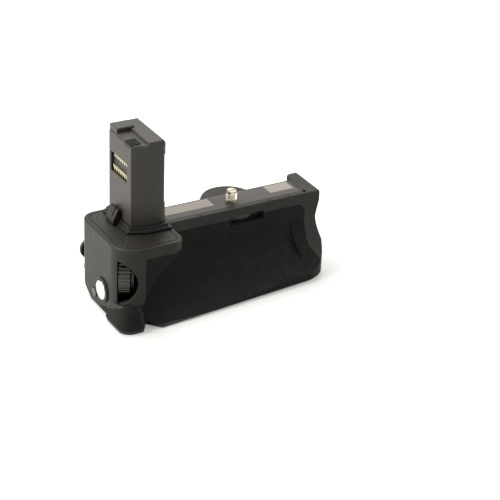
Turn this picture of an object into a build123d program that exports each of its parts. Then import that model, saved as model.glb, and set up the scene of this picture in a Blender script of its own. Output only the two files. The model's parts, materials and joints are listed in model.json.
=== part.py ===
"""Camera battery grip: body, battery plug, controls, battery tray and the wheel of its camera screw.

Millimetres, Z up. X runs along the grip, Y to the rear. The origin is on the base, under the camera screw.
"""
from build123d import *
import math
import os

os.makedirs("parts", exist_ok=True)

# General values
overrun = 1.0            # how far a cut runs past the face it opens
slide_gap = 0.3          # clearance round pieces that move
fit_gap = 0.02           # clearance round a fixed pin
shaft_gap = 0.05         # clearance round a turning pin
seat_gap = 0.1           # gap under a piece that is laid in its recess
wall = 2.0               # wall of the outer shells
skin = 1.2               # thickness of the rubber coverings

# Body, measured from the camera screw's axis and from the base
left_reach = 80.5        # to the left end face
right_reach = 50.6       # to the right end face, at its top
waist_reach = 48.2       # to the right end face, at its waist
flare_reach = 50.6       # to the right end face, at the flare
base_inset = 4.1         # of the right end face's lower edge, behind the flare
body_height = 45.0
strip_front = 9.8        # front wall under the camera
strip_rear = 8.5         # rear edge of the camera seat
body_rear = 21.0
platform_front = 30.5    # front of the left pillar
foot_front = 37.5        # front bottom edge of the hand grip, at its left
foot_front_right = 26.0  # the same edge at its right
foot_left = 60.0         # left end of that edge
foot_back_front = 31.0   # front bottom edge beside the finger rest
foot_back_left = 66.0
platform_right = 43.0    # right side of the left pillar
shoulder_height = 36.0   # top of the body behind the camera seat
ear_left = 43.0          # left side of the right end block
ear_rear = 16.0
ear_round = 3.0
ear_front_round = 5.0    # plan radius of the end block's front corner, at the top
ear_front_round_low = 3.0
seam_height = 39.0       # joint between the top cover and the housing
side_seam_height = 31.0  # the same joint on the right end
side_seam_reach = 41.0   # where the joint steps down
left_corner = 14.0       # plan radii
right_corner = 18.0
rear_corner = 8.0
ear_corner = 4.0
waist_height = 30.0      # the right end flares below this height
flare_end = 12.0
base_lean_share = 1.4    # lean of the right end at the base
base_edge = 1.2          # bevel round the base
top_edge = 1.0           # rounding round the top

# Hand recess: its section, and its left sweep along the pillar
recess_top = 27.0        # the front wall starts to sweep forward
ridge_front = 29.5       # soft ridge above the front bottom edge
ridge_height = 7.5
recess_sag = 5.0         # depth of the hollow behind the straight line
sweep_front = [(43.0, 40.5), (46.7, 38.2), (52.4, 33.7), (58.7, 28.7), (64.3, 21.0), (67.5, 13.0),
               (69.0, 0.0)]
sweep_back = [(42.8, 40.5), (43.4, 38.2), (45.0, 33.7), (47.5, 28.7), (51.0, 21.0), (54.0, 13.0),
              (57.0, 0.0)]
scoop_right = 38.0       # right end of the hand recess
scoop_slope = 6.0
platform_corner = 7.0    # plan radius of the pillar's front right corner
shoulder_front = 24.0    # front of the right shoulder beside the recess

# Covers and housing
control_seam = 66.5      # left of this plane the shell is the control cover
cover_base = 2.0         # floor under the control cover
lobe_height = 13.0       # top of the finger rest, at its front
lobe_slope_share = 0.4   # fall of its top to the rear
lobe_skin = 1.6
lobe_swell = 2.5         # how far the finger rest stands out
lobe_belly = 3.0         # height of its widest place
lobe_foot_share = 0.6    # of the swell, left at the base
lobe_front = 34.5
lobe_right = 69.0
lobe_corner = 6.5        # plan radii, at the foot and at the top
lobe_top_corner = 8.5
lobe_right_corner = 2.5
lobe_rear_corner = 1.5
lobe_rear = 15.5
panel_bottom = 1.5       # lower edge of the hand grip rubber
panel_corner = 5.0
panel_notch_height = 16.0
panel_foot_reach = 46.0

# Battery bay
bay_left = 52.0
bay_front = 7.3
bay_rear = 13.6
bay_floor = 1.8
bay_top = 35.0
tray_gap = 0.15
tray_wall = 0.9
tray_height = 24.0
battery_length = 45.0
battery_depth = 18.5
battery_height = 31.8
battery_edge = 1.5
battery_left = 48.5      # inner end of the first battery
cell_gap = 0.1
cap_left = 46.8          # inner face of the tray's end cap
knob_height = 17.0
knob_radius = 6.0
knob_thickness = 1.6
knob_slot = 1.6
knob_shaft_radius = 2.0
latch_length = 11.2
latch_width = 4.0
latch_thickness = 1.4
latch_left = 44.0

# Electronics bay and rear cover
board_bay_front = 14.6
board_bay_left = 42.0
board_bay_right = 37.2
board_bay_low = 5.2
board_bay_high = 31.5
board_thickness = 1.2
rear_cover_rim = 3.6
rear_cover_thickness = 1.6
thumb_pad_thickness = 1.0

chip_height = 1.2
chips = [(-30.0, 12.0, 9.0), (-12.0, 18.0, 5.0), (4.0, 10.0, 7.0), (22.0, 20.0, 5.0)]

# Base
flare_bay_left = 50.0
flare_bay_right = 30.0
flare_bay_front = 24.0
flare_bay_rear = 9.8
flare_bay_low_height = 6.6
flare_bay_high = 14.0
base_plate_rim = 2.0
base_plate_side_rim = 3.6
base_plate_thickness = 1.6
socket_front = 17.0      # tripod socket, forward of the axis
socket_radius = 3.175    # quarter inch thread
socket_depth = 6.0
socket_wall = 1.6

# Thumb wheel and camera screw
wheel_x = 2.4
wheel_y = 7.8
wheel_radius = 15.5
wheel_floor = 36.4
wheel_top = 41.2
wheel_web = 1.0
wheel_hub_radius = 2.6
wheel_axle_radius = 1.5
wheel_axle_foot = 1.2    # how far the axle reaches below the wheel
wheel_axle_cover = 0.4   # left over the axle's top
wheel_room = 0.3         # running clearance round the wheel
ring_teeth = 42
pinion_teeth = 15
tip_share = 0.85         # tooth tip beyond the pitch circle, in modules
root_share = 1.15
tip_width_share = 0.22
root_width_share = 0.52
knurl_count = 72
knurl_depth = 0.45
tongue_radius = 14.7
tongue_top = 42.6
chamber_top = 41.6
window_left = 5.8
window_right = 14.9
window_low = 35.5
window_high = 40.3
screw_radius = 3.175
screw_top = 51.6
thread_pitch = 1.27
thread_depth = 0.6
screw_neck_radius = 2.7  # in the hole under the thread
seat_thickness = 1.2
seat_left = 41.5
seat_right = 40.0
seat_front = 5.8
label_thickness = 0.3
label_edge = 1.0
left_label = (-40.0, -11.0)
right_label = (24.0, 38.5)

# Battery plug
plug_left = 65.2
plug_right = 47.0
plug_front = 13.0
plug_rear = 19.0
plug_height = 48.8
plug_chamfer_x = 7.6
plug_chamfer_y = 3.2
plug_wall = 1.6
plug_corner = 1.5
plug_tip_edge = 1.0
tip_inset = 0.3
tip_round = 0.9
contact_front = 5.0      # contact window in the plug's left face
contact_rear = 13.7
contact_low = 26.0       # above the camera seat
contact_high = 37.0
contact_count = 7
contact_width = 1.0
contact_board_thickness = 0.8
collar_wall = 1.6
collar_height = 3.4
collar_foot = 1.4
collar_foot_height = 1.6
catch_left = 70.5
catch_front = 0.5
catch_rear = 9.0
catch_height = 8.6
catch_right = -66.0
catch_tip = 1.6
catch_foot = 2.5
catch_slot_place = 3.0
catch_slot_width = 0.8
cable_way = 8.0
lip_rise = 1.2
lip_margin = 2.5
lip_height = 7.5
rib_rear = 6.0
rib_height = 14.0
tip_plate_width = 9.5    # right half of the tip, one step higher
tip_plate_rise = 1.6
tip_block_width = 8.0
tip_block_front = 8.0
tip_block_rear = 16.5
tip_block_rise = 2.8
terminal_width = 6.0
terminal_front = -9.0
terminal_rear = -2.0
terminal_height = 2.5
terminal_rise = 0.6
terminal_slots = 5
terminal_slot_depth = 1.2
contact_pad_rise = 0.5
contact_pad_length = 2.0
contact_pad_drop = 0.8
contact_leaf_length = 3.6
contact_leaf_thickness = 0.3
contact_leaf_rise = 0.9

# Controls on the end face
shutter_y = -7.8
shutter_z = 13.6
shutter_radius = 5.2
shutter_thickness = 0.9
shutter_stem_radius = 2.2
shutter_travel = 0.4
shutter_stem_length = 4.4
switch_half = 3.0
switch_bracket_left = -73.6
power_ring_radius = 7.0
power_ring_thickness = 0.9
end_button_y = 1.8
end_button_z = 7.4
end_button_radius = 2.5
end_button_rise = 0.7
end_button_travel = 0.5
button_pocket = 1.1
button_gap = 0.15

# Dials
dial_x = -71.5
dial_y = -14.8
dial_z = 25.2
dial_radius = 11.0
dial_thickness = 6.0
dial_tilt = 25.0
dial_room = 0.6
dial_groove_count = 30
dial_groove_depth = 0.5
dial_window_radius = 12.4
dial_window_width = 10.8
axle_radius = 1.2
rear_dial_x = -75.0
rear_dial_y = 8.5
rear_dial_z = 9.9
rear_dial_radius = 7.5
rear_dial_thickness = 4.8
notch_front = 3.0
notch_height = 11.0
notch_right = 73.0

# Controls on the rear of the pillar
lever_x = -73.5
lever_z = 22.5
lever_radius = 6.0
lever_thickness = 2.0
lever_button_radius = 3.3
lever_button_rise = 0.8
rear_button_x = -74.0
rear_button_z = 12.4
rear_button_radius = 3.6
rear_button_rise = 1.2

# Fasteners
screw_head_radius = 1.5
screw_head_height = 0.9
screw_shank_radius = 0.8
screw_length = 5.0
screw_boss_radius = 2.6
top_screw_places = [(-74.0, 13.0), (-73.0, -17.0), (-50.0, -23.0)]
base_screw_rows = [-24.0, -14.0]
cross_length_share = 1.3
cross_width_share = 0.3
cross_depth_share = 0.6
lever_lip = 1.0
pad_left = 39.0
pad_right = 22.0
pad_low = 8.0
pad_high = 28.0

# Small marks
groove_depth = 0.4
groove_width = 0.5
rim_width = 2.6
locating_radius = 1.2
rim_slots = [-24.0, 19.0, 31.0]
rim_slot_length = 2.0
rim_slot_width = 0.8


def plan_sketch(left, right, front, rear, radii):
    """A plan outline with round corners: radii for front left, front right, rear right and rear left."""
    fl, fr, rr, rl = radii
    with BuildSketch() as outline:
        with BuildLine():
            a = Line((-left + fl, -front), (right - fr, -front))
            b = JernArc(a @ 1, a % 1, fr, 90)
            c = Line(b @ 1, (right, rear - rr))
            d = JernArc(c @ 1, c % 1, rr, 90)
            e = Line(d @ 1, (-left + rl, rear))
            f = JernArc(e @ 1, e % 1, rl, 90)
            g = Line(f @ 1, (-left, -front + fl))
            JernArc(g @ 1, g % 1, fl, 90)
        make_face()
    return outline.sketch


def plan_block(left, right, front, rear, low, high, radii):
    """A block with round upright edges on the plan outline of the same values."""
    outline = plan_sketch(left, right, front, rear, radii)
    with BuildPart() as block:
        with BuildSketch(Plane.XY.offset(low)):
            add(outline)
        extrude(amount=high - low)
    return block.part


def recess_cutter(start_height, ridge_reach, ridge_z, sag, left, right):
    """Space in front of the hand recess: straight down the front wall, then a hollow sweep to the ridge."""
    with BuildPart() as cutter:
        with BuildSketch(Plane.YZ.offset(left)):
            with BuildLine():
                wall_line = Line((-strip_front, body_height + overrun), (-strip_front, start_height))
                end = (-ridge_reach, ridge_z)
                middle = (-(strip_front + ridge_reach) / 2, (start_height + ridge_z) / 2)
                bend = (middle[0] + sag / math.sqrt(2), middle[1] - sag / math.sqrt(2))
                ThreePointArc(wall_line @ 1, bend, end)
                low = Line(end, (-foot_front, 0))
                out = Line(low @ 1, (-foot_front - wall * 2, 0))
                up = Line(out @ 1, (-foot_front - wall * 2, body_height + overrun))
                Line(up @ 1, wall_line @ 0)
            make_face()
        extrude(amount=right - left)
    return cutter.part


def sweep_outline(plane, points, right):
    """Front view of the recess: the sweep on its left and an upright end on its right."""
    with BuildSketch(plane) as outline:
        with BuildLine():
            curve = Spline(*[(-x, z) for x, z in points])
            low = Line(curve @ 1, ((curve @ 1).X, -overrun))
            base = Line(low @ 1, (right, -overrun))
            side = Line(base @ 1, (right, (curve @ 0).Y))
            Line(side @ 1, curve @ 0)
        make_face()
    return outline.sketch


def sweep_prism(right, slope):
    """The recess in front view, lofted from the pillar's front to the front wall, narrowing inwards."""
    mouth = sweep_outline(Plane.XZ.offset(platform_front), sweep_front, right)
    floor = sweep_outline(Plane.XZ.offset(strip_front - overrun), sweep_back, right - slope)
    with BuildPart() as prism:
        add(mouth)
        add(floor)
        loft()
        extrude(to_extrude=mouth, amount=foot_front - platform_front + wall)
    return prism.part


def grip_form():
    """The whole outer shape of the body, solid."""
    with BuildPart() as envelope:
        with BuildSketch() as plan:
            Polygon((-left_reach, -foot_back_front), (-foot_back_left, -foot_back_front),
                    (-foot_left, -foot_front), (flare_reach, -foot_front_right), (flare_reach, body_rear),
                    (-left_reach, body_rear), align=None)
            fillet(plan.vertices().group_by(Axis.X)[0].sort_by(Axis.Y)[0], left_corner)
            fillet(plan.vertices().group_by(Axis.Y)[-1].sort_by(Axis.X)[0], rear_corner)
            fillet(plan.vertices().group_by(Axis.Y)[-1].sort_by(Axis.X)[-1], ear_corner)
            fillet(plan.vertices().group_by(Axis.X)[-1].sort_by(Axis.Y)[0], right_corner)
        extrude(amount=body_height)
    # Finger rest: it swells towards the base at the front left corner
    sections = []
    for z, swell, front, corner in ((0, lobe_swell * lobe_foot_share, lobe_front, lobe_corner),
                                    (lobe_belly, lobe_swell, lobe_front, lobe_corner),
                                    (lobe_height, 0, platform_front, lobe_top_corner)):
        outline = plan_sketch(left_reach + swell - fit_gap, -lobe_right, front + swell - fit_gap,
                              -lobe_rear, (corner, lobe_right_corner, lobe_rear_corner, lobe_rear_corner))
        sections.append((z, outline))
    with BuildPart() as lobe:
        for z, outline in sections:
            with BuildSketch(Plane.XY.offset(z)):
                add(outline)
        loft(ruled=True)
    deep = recess_cutter(recess_top, ridge_front, ridge_height, recess_sag, -left_reach, flare_reach)
    deep = deep.intersect(sweep_prism(scoop_right, scoop_slope))
    beside = flare_reach + overrun
    shallow = recess_cutter(recess_top + wall, shoulder_front, ridge_height, recess_sag / 2, -left_reach,
                            beside)
    shallow = shallow.intersect(sweep_prism(beside, 0))
    with BuildPart() as outer:
        add(envelope.part)
        chamfer(outer.faces().sort_by(Axis.Z)[0].edges(), base_edge)
        # Hand recess, deep on the left of the scoop and shallow beside it
        add(deep, mode=Mode.SUBTRACT)
        add(shallow, mode=Mode.SUBTRACT)
        # Front of the camera seat, right of the pillar's round corner
        with BuildSketch(Plane.XY.offset(seam_height)):
            with BuildLine():
                side = Line((-platform_right, -strip_front),
                            (-platform_right, -platform_front + platform_corner))
                turn = JernArc(side @ 1, side % 1, platform_corner, -90)
                out = Line(turn @ 1, ((turn @ 1).X, -foot_front - overrun))
                along = Line(out @ 1, (beside, -foot_front - overrun))
                back = Line(along @ 1, (beside, -strip_front))
                Line(back @ 1, side @ 0)
            make_face()
        extrude(amount=body_height - seam_height + overrun, mode=Mode.SUBTRACT)
        # Front of the pillar above its foot
        with BuildSketch(Plane.YZ.offset(-left_reach - overrun)):
            Polygon((-foot_front, 0), (-platform_front, ridge_height),
                    (-platform_front, body_height + overrun),
                    (-foot_front - overrun, body_height + overrun), (-foot_front - overrun, 0), align=None)
        extrude(amount=left_reach + flare_reach + overrun * 2, mode=Mode.SUBTRACT)
        # Behind the camera seat and the right end block, down to the shoulder
        with BuildSketch(Plane.XY.offset(shoulder_height)) as shoulder:
            Polygon((-platform_right, strip_rear), (ear_left, strip_rear), (ear_left, ear_rear),
                    (beside, ear_rear), (beside, body_rear + overrun),
                    (-platform_right, body_rear + overrun), align=None)
            fillet(shoulder.vertices().sort_by_distance((ear_left, ear_rear))[0], ear_round)
        extrude(amount=body_height - shoulder_height + overrun, mode=Mode.SUBTRACT)
        # Front corner of the right end block, rounder towards the top
        for z, radius in ((recess_top + wall, ear_front_round_low),
                          (body_height + overrun, ear_front_round)):
            with BuildSketch(Plane.XY.offset(z)):
                with BuildLine():
                    start = (beside - radius, -strip_front - overrun)
                    along = Line(start, (beside, -strip_front - overrun))
                    across = Line(along @ 1, (beside, -strip_front - overrun + radius))
                    RadiusArc(across @ 1, start, radius)
                make_face()
        loft(mode=Mode.SUBTRACT)
        # Right end: upright above, flared below
        with BuildSketch(Plane.XZ.offset(-body_rear - overrun)):
            with BuildLine():
                up = Line((right_reach, body_height + overrun), (right_reach, body_height))
                bow = Spline(up @ 1, (waist_reach, waist_height), (flare_reach, flare_end),
                             (flare_reach - base_inset, 0),
                             tangents=((0, -1), (-base_lean_share, -1)))
                low = Line(bow @ 1, (flare_reach + wall, 0))
                out = Line(low @ 1, (flare_reach + wall, body_height + overrun))
                Line(out @ 1, up @ 0)
            make_face()
        extrude(amount=body_rear + foot_front + overrun * 2, mode=Mode.SUBTRACT)
        fillet(outer.faces().sort_by(Axis.Z)[-1].edges(), top_edge)
        add(lobe.part)
    return outer.part


def span(x, y, z):
    """A block from three pairs of limits."""
    with BuildPart() as block:
        with Locations(((x[0] + x[1]) / 2, (y[0] + y[1]) / 2, (z[0] + z[1]) / 2)):
            Box(x[1] - x[0], y[1] - y[0], z[1] - z[0])
    return block.part


def front_region(depth_front, depth_rear, points):
    """A front view outline, X and Z, carried from one depth to another."""
    with BuildPart() as region:
        with BuildSketch(Plane.XZ.offset(-depth_rear)):
            Polygon(*points, align=None)
        extrude(amount=depth_rear - depth_front)
    return region.part


def rod(origin, direction, radius, length):
    """A round bar from a point along a direction."""
    with BuildPart() as bar:
        with BuildSketch(Plane(origin=origin, z_dir=direction)):
            Circle(radius)
        extrude(amount=length)
    return bar.part


def save(piece, name):
    """Label one finished piece and write it."""
    piece.label = name
    export_step(piece, f"parts/{name}.step")


form = grip_form()
base_screw_columns = [-flare_bay_left - base_plate_side_rim / 2, flare_bay_right + base_plate_side_rim / 2]
base_screw_places = [(x, y) for x in base_screw_columns for y in base_screw_rows]
rear_screw_columns = (-board_bay_left - rear_cover_rim / 2, board_bay_right + rear_cover_rim / 2)
rear_screw_rows = (board_bay_low - rear_cover_rim / 2, board_bay_high + rear_cover_rim / 2)
rear_screw_places = [(x, z) for x in rear_screw_columns for z in rear_screw_rows]
far = overrun * 10
front_end = -foot_front - far
rear_end = body_rear + far
left_end = -left_reach - far
right_end = flare_reach + far
ridge_shift = form.translate((0, skin, 0))
upper_region = front_region(front_end, rear_end, [
    (left_end, seam_height), (side_seam_reach, seam_height), (side_seam_reach, side_seam_height),
    (right_end, side_seam_height), (right_end, body_height + far), (left_end, body_height + far)])
lobe_fall = lobe_height + fit_gap - cover_base
with BuildPart() as lobe_wedge:
    with BuildSketch(Plane.YZ.offset(left_end)):
        Polygon((front_end, cover_base), (front_end, lobe_height + fit_gap),
                (-platform_front, lobe_height + fit_gap),
                (-platform_front + lobe_fall / lobe_slope_share, cover_base), align=None)
    extrude(amount=-control_seam - left_end)
lobe_region = lobe_wedge.part
control_region = span((left_end, -control_seam), (front_end, rear_end), (cover_base, seam_height))
with BuildPart() as panel_block:
    with BuildSketch(Plane.XZ) as panel_outline:
        Polygon((-control_seam, seam_height), (side_seam_reach, seam_height),
                (side_seam_reach, panel_notch_height), (panel_foot_reach, panel_notch_height / 2),
                (panel_foot_reach, panel_bottom), (-control_seam, panel_bottom), align=None)
        fillet(panel_outline.vertices().group_by(Axis.Y)[-1].sort_by(Axis.X)[-1], panel_corner)
    extrude(amount=foot_front + far)
panel_region = panel_block.part

plug_base = body_height
plug_top = body_height + plug_height


def plug_outline(grow, low, high):
    """The battery plug's section grown by a margin, between two heights."""
    with BuildPart() as prism:
        with BuildSketch(Plane.XY.offset(low)):
            Polygon((-plug_left, -plug_front + plug_chamfer_y), (-plug_left + plug_chamfer_x, -plug_front),
                    (-plug_right, -plug_front), (-plug_right, plug_rear),
                    (-plug_left + plug_chamfer_x, plug_rear), (-plug_left, plug_rear - plug_chamfer_y),
                    align=None)
            if grow:
                offset(amount=grow, kind=Kind.INTERSECTION)
        extrude(amount=high - low)
    return prism.part


# Spaces shared by several pieces
screw_hole = rod((0, 0, wheel_floor), (0, 0, 1), screw_radius + shaft_gap, body_height)
chamber = rod((wheel_x, wheel_y, shoulder_height), (0, 0, 1), wheel_radius + wheel_room,
              chamber_top - shoulder_height)
window = span((-window_left, window_right), (-strip_front - overrun, -strip_front + wall * 2),
              (window_low, window_high))
wheel_pin_low = wheel_floor - wheel_axle_foot
wheel_pin_top = tongue_top - wheel_axle_cover
wheel_pin_hole = rod((wheel_x, wheel_y, wheel_pin_low), (0, 0, 1), wheel_axle_radius + fit_gap,
                     wheel_pin_top - wheel_pin_low)

# Spaces cut from both covers
bay = span((-bay_left, right_end), (-bay_front, bay_rear), (bay_floor, bay_top))

# Top cover: pillar top, camera seat's frame, right end block and the tongue over the thumb wheel
pillar_room = plan_block(left_reach - wall * 1.5, -platform_right - wall, platform_front - wall * 1.5,
                         body_rear - wall * 1.5, seam_height - overrun, body_height - wall,
                         (left_corner - wall, platform_corner - wall, wall, rear_corner - wall))
seat_span = span((-seat_left, seat_right), (-seat_front, strip_rear),
                 (body_height - seat_thickness, body_height))
with BuildPart() as tongue:
    with BuildSketch(Plane.XY.offset(chamber_top)):
        with Locations((wheel_x, wheel_y)):
            Circle(tongue_radius)
    extrude(amount=tongue_top - chamber_top)
    add(span((left_end, right_end), (front_end, 0), (0, plug_top)), mode=Mode.SUBTRACT)
with BuildPart() as top_cover:
    add(form.intersect(upper_region))
    add(tongue.part)
    add(pillar_room, mode=Mode.SUBTRACT)
    add(seat_span, mode=Mode.SUBTRACT)
    add(chamber, mode=Mode.SUBTRACT)
    add(window, mode=Mode.SUBTRACT)
    add(screw_hole, mode=Mode.SUBTRACT)
    add(wheel_pin_hole, mode=Mode.SUBTRACT)
    add(bay, mode=Mode.SUBTRACT)
    with Locations(*[(x, y, (seam_height + body_height) / 2) for x, y in top_screw_places]):
        Cylinder(screw_boss_radius, body_height - seam_height - wall / 2)
    # Cable way under the battery plug
    with Locations(((-plug_left - plug_right) / 2, (plug_rear - plug_front) / 2, body_height - wall)):
        Box(cable_way, cable_way, wall * 3, mode=Mode.SUBTRACT)
    # Line groove round the pillar's top
    with BuildSketch(Plane.XY.offset(body_height - groove_depth)):
        add(plan_sketch(left_reach - rim_width, -platform_right - rim_width, platform_front - rim_width,
                        body_rear - rim_width, (left_corner - rim_width, platform_corner - rim_width,
                                                wall, rear_corner - rim_width)))
        offset(amount=-groove_width, mode=Mode.SUBTRACT)
    extrude(amount=groove_depth + overrun, mode=Mode.SUBTRACT)
    # Locating hole in the right end block and three slots on the front rim
    with Locations(((seat_right + wall, -strip_front + wall * 1.5, body_height))):
        Hole(locating_radius, depth=wall * 1.5)
    with Locations(*[(x, -strip_front + rim_slot_width * 1.5, body_height) for x in rim_slots]):
        Box(rim_slot_length, rim_slot_width, groove_depth * 2, mode=Mode.SUBTRACT)
    with Locations(*[(x, y, body_height - screw_head_height / 2) for x, y in top_screw_places]):
        Cylinder(screw_head_radius + fit_gap, screw_head_height, mode=Mode.SUBTRACT)
    with Locations(*[(x, y, body_height - wall - screw_length / 2 + overrun) for x, y in top_screw_places]):
        Cylinder(screw_shank_radius + fit_gap, screw_length + overrun, mode=Mode.SUBTRACT)
save(top_cover.part, "top_cover")

# Lower housing: the battery bay, the electronics bay, the base opening and the pillar's inside
board_bay = span((-board_bay_left, board_bay_right), (board_bay_front, rear_end),
                 (board_bay_low, board_bay_high))
rear_cover_room = span((-board_bay_left - rear_cover_rim, board_bay_right + rear_cover_rim),
                       (body_rear - rear_cover_thickness, rear_end),
                       (board_bay_low - rear_cover_rim, board_bay_high + rear_cover_rim))
pillar_bay = span((-control_seam - overrun, -bay_left - wall), (-bay_front - overrun, body_rear - wall),
                  (cover_base, seam_height + overrun))
control_room = plan_block(left_reach - wall, -control_seam + wall * 2, platform_front - wall,
                          body_rear - wall, cover_base, seam_height + overrun,
                          (left_corner - wall, wall, wall, rear_corner - wall))
with BuildPart() as flare_room:
    with BuildSketch(Plane.YZ.offset(-flare_bay_left)):
        Polygon((-flare_bay_front, -overrun), (-flare_bay_front, flare_bay_low_height),
                (-flare_bay_rear, flare_bay_high), (-flare_bay_rear, -overrun), align=None)
    extrude(amount=flare_bay_left + flare_bay_right)
base_plate_room = span((-flare_bay_left - base_plate_side_rim, flare_bay_right + base_plate_side_rim),
                       (-flare_bay_front - base_plate_rim, -flare_bay_rear + base_plate_rim),
                       (0, base_plate_thickness))
notch_points = [(notch_front, -overrun), (body_rear + overrun, -overrun),
                (body_rear + overrun, notch_height)]
with BuildPart() as notch:
    with BuildSketch(Plane.YZ.offset(left_end)):
        Polygon(*notch_points, align=None)
    extrude(amount=-left_end - notch_right)
dial_out = (-math.sin(math.radians(dial_tilt)), -math.cos(math.radians(dial_tilt)), 0)
dial_axis = (math.cos(math.radians(dial_tilt)), -math.sin(math.radians(dial_tilt)), 0)


def along_dial(distance):
    """A point on the front dial's axis."""
    return (dial_x + dial_axis[0] * distance, dial_y + dial_axis[1] * distance, dial_z)


bracket_near = dial_thickness / 2 + dial_room
bracket_thickness = wall * 0.75
dial_pocket = rod(along_dial(-bracket_near), dial_axis, dial_radius + dial_room,
                  bracket_near * 2 + bracket_thickness)
rear_dial_room_left = rear_dial_x - rear_dial_thickness / 2 - slide_gap
rear_dial_room = rod((rear_dial_room_left, rear_dial_y, rear_dial_z), (1, 0, 0),
                     rear_dial_radius + dial_room, rear_dial_thickness + slide_gap * 2)
knob_y = (bay_rear - bay_front) / 2
latch_pocket = span((latch_left - slide_gap, latch_left + latch_thickness + slide_gap),
                    (bay_rear - overrun, knob_y + latch_length + slide_gap),
                    (knob_height - latch_width / 2 - slide_gap, knob_height + latch_width * 1.5))
skin_region = panel_region.intersect(form)
with BuildPart() as hand_grip_rubber:
    add(skin_region)
    add(ridge_shift, mode=Mode.SUBTRACT)
    add(window, mode=Mode.SUBTRACT)
save(hand_grip_rubber.part, "hand_grip_rubber")

lobe_core = plan_block(left_reach - lobe_skin, -control_seam + wall * 2, platform_front - lobe_skin,
                       body_rear, 0, body_height, (left_corner - lobe_skin, wall, wall, wall))
lobe_covering = form.intersect(lobe_region - lobe_core)
with BuildPart() as finger_rest_rubber:
    add(lobe_covering.solids().sort_by(SortBy.VOLUME)[-1])
save(finger_rest_rubber.part, "finger_rest_rubber")

with BuildPart() as lower_housing:
    add(form)
    add(upper_region, mode=Mode.SUBTRACT)
    add(control_region - lobe_region, mode=Mode.SUBTRACT)
    add(finger_rest_rubber.part, mode=Mode.SUBTRACT)
    add(hand_grip_rubber.part, mode=Mode.SUBTRACT)
    for space in (bay, board_bay, rear_cover_room, pillar_bay, flare_room.part, base_plate_room, notch.part,
                  dial_pocket, rear_dial_room, latch_pocket, chamber, window, screw_hole, wheel_pin_hole):
        add(space, mode=Mode.SUBTRACT)
    with Locations(*[(x, y, base_plate_thickness + screw_length / 2) for x, y in base_screw_places]):
        Cylinder(screw_shank_radius + fit_gap, screw_length, mode=Mode.SUBTRACT)
    for x, z in rear_screw_places:
        with Locations(Plane(origin=(x, body_rear, z), z_dir=(0, 1, 0))):
            Hole(screw_shank_radius + fit_gap, depth=screw_length)
save(lower_housing.part, "lower_housing")

# Control cover: the left end and the front left corner, with holes for its buttons and dials
window_start = along_dial(-dial_thickness / 2 - dial_room)
with BuildPart() as dial_window:
    with BuildSketch(Plane(origin=window_start, x_dir=dial_axis, z_dir=dial_out)):
        with BuildLine():
            line = Line((0, -dial_window_radius), (0, dial_window_radius))
            ThreePointArc(line @ 1, (dial_window_width, 0), line @ 0)
        make_face()
    extrude(amount=left_corner * 2)
left_face = -left_reach
with BuildPart() as control_cover:
    add(form.intersect(control_region))
    add(lobe_region, mode=Mode.SUBTRACT)
    add(control_room, mode=Mode.SUBTRACT)
    add(notch.part, mode=Mode.SUBTRACT)
    add(dial_window.part, mode=Mode.SUBTRACT)
    add(rear_dial_room, mode=Mode.SUBTRACT)
    with Locations(Plane(origin=(left_face, shutter_y, shutter_z), z_dir=(-1, 0, 0))):
        Hole(shutter_stem_radius + button_gap, depth=wall * 2)
    with Locations(Plane(origin=(left_face, end_button_y, end_button_z), z_dir=(-1, 0, 0))):
        Hole(end_button_radius + button_gap, depth=button_pocket + slide_gap)
    with Locations(Plane(origin=(lever_x, body_rear, lever_z), z_dir=(0, 1, 0))):
        Hole(lever_button_radius - lever_lip + button_gap, depth=wall * 2)
    with Locations(Plane(origin=(rear_button_x, body_rear, rear_button_z), z_dir=(0, 1, 0))):
        Hole(rear_button_radius + button_gap, depth=button_pocket + slide_gap)
save(control_cover.part, "control_cover")

# Rear cover over the electronics, with its thumb pad
with BuildPart() as rear_cover:
    add(span((-board_bay_left - rear_cover_rim + seat_gap, board_bay_right + rear_cover_rim - seat_gap),
             (body_rear - rear_cover_thickness, body_rear),
             (board_bay_low - rear_cover_rim + seat_gap, board_bay_high + rear_cover_rim - seat_gap)))
    add(span((-pad_left, -pad_right), (body_rear - thumb_pad_thickness, rear_end), (pad_low, pad_high)),
        mode=Mode.SUBTRACT)
    for x, z in rear_screw_places:
        with Locations(Plane(origin=(x, body_rear, z), z_dir=(0, 1, 0))):
            Hole(screw_head_radius + fit_gap, depth=screw_head_height)
            Hole(screw_shank_radius + fit_gap, depth=screw_length)
save(rear_cover.part, "rear_cover")

with BuildPart() as thumb_pad:
    with BuildSketch(Plane.XZ.offset(-body_rear + thumb_pad_thickness)):
        with Locations((-(pad_left + pad_right) / 2, (pad_low + pad_high) / 2)):
            RectangleRounded(pad_left - pad_right - seat_gap * 2, pad_high - pad_low - seat_gap * 2, wall)
    extrude(amount=-thumb_pad_thickness)
save(thumb_pad.part, "thumb_pad")

# Base plate with its tripod socket
with BuildPart() as base_plate:
    add(span((-flare_bay_left - base_plate_side_rim + seat_gap,
              flare_bay_right + base_plate_side_rim - seat_gap),
             (-flare_bay_front - base_plate_rim + seat_gap, -flare_bay_rear + base_plate_rim - seat_gap),
             (0, base_plate_thickness)))
    with Locations((0, -socket_front, socket_depth / 2)):
        Cylinder(socket_radius + socket_wall * 2, socket_depth)
        Cylinder(socket_radius + socket_wall, socket_depth, mode=Mode.SUBTRACT)
    with Locations(*[(x, y, screw_head_height / 2) for x, y in base_screw_places]):
        Cylinder(screw_head_radius + fit_gap, screw_head_height, mode=Mode.SUBTRACT)
    with Locations(*[(x, y, base_plate_thickness / 2) for x, y in base_screw_places]):
        Cylinder(screw_shank_radius + fit_gap, base_plate_thickness, mode=Mode.SUBTRACT)
save(base_plate.part, "base_plate")

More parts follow.
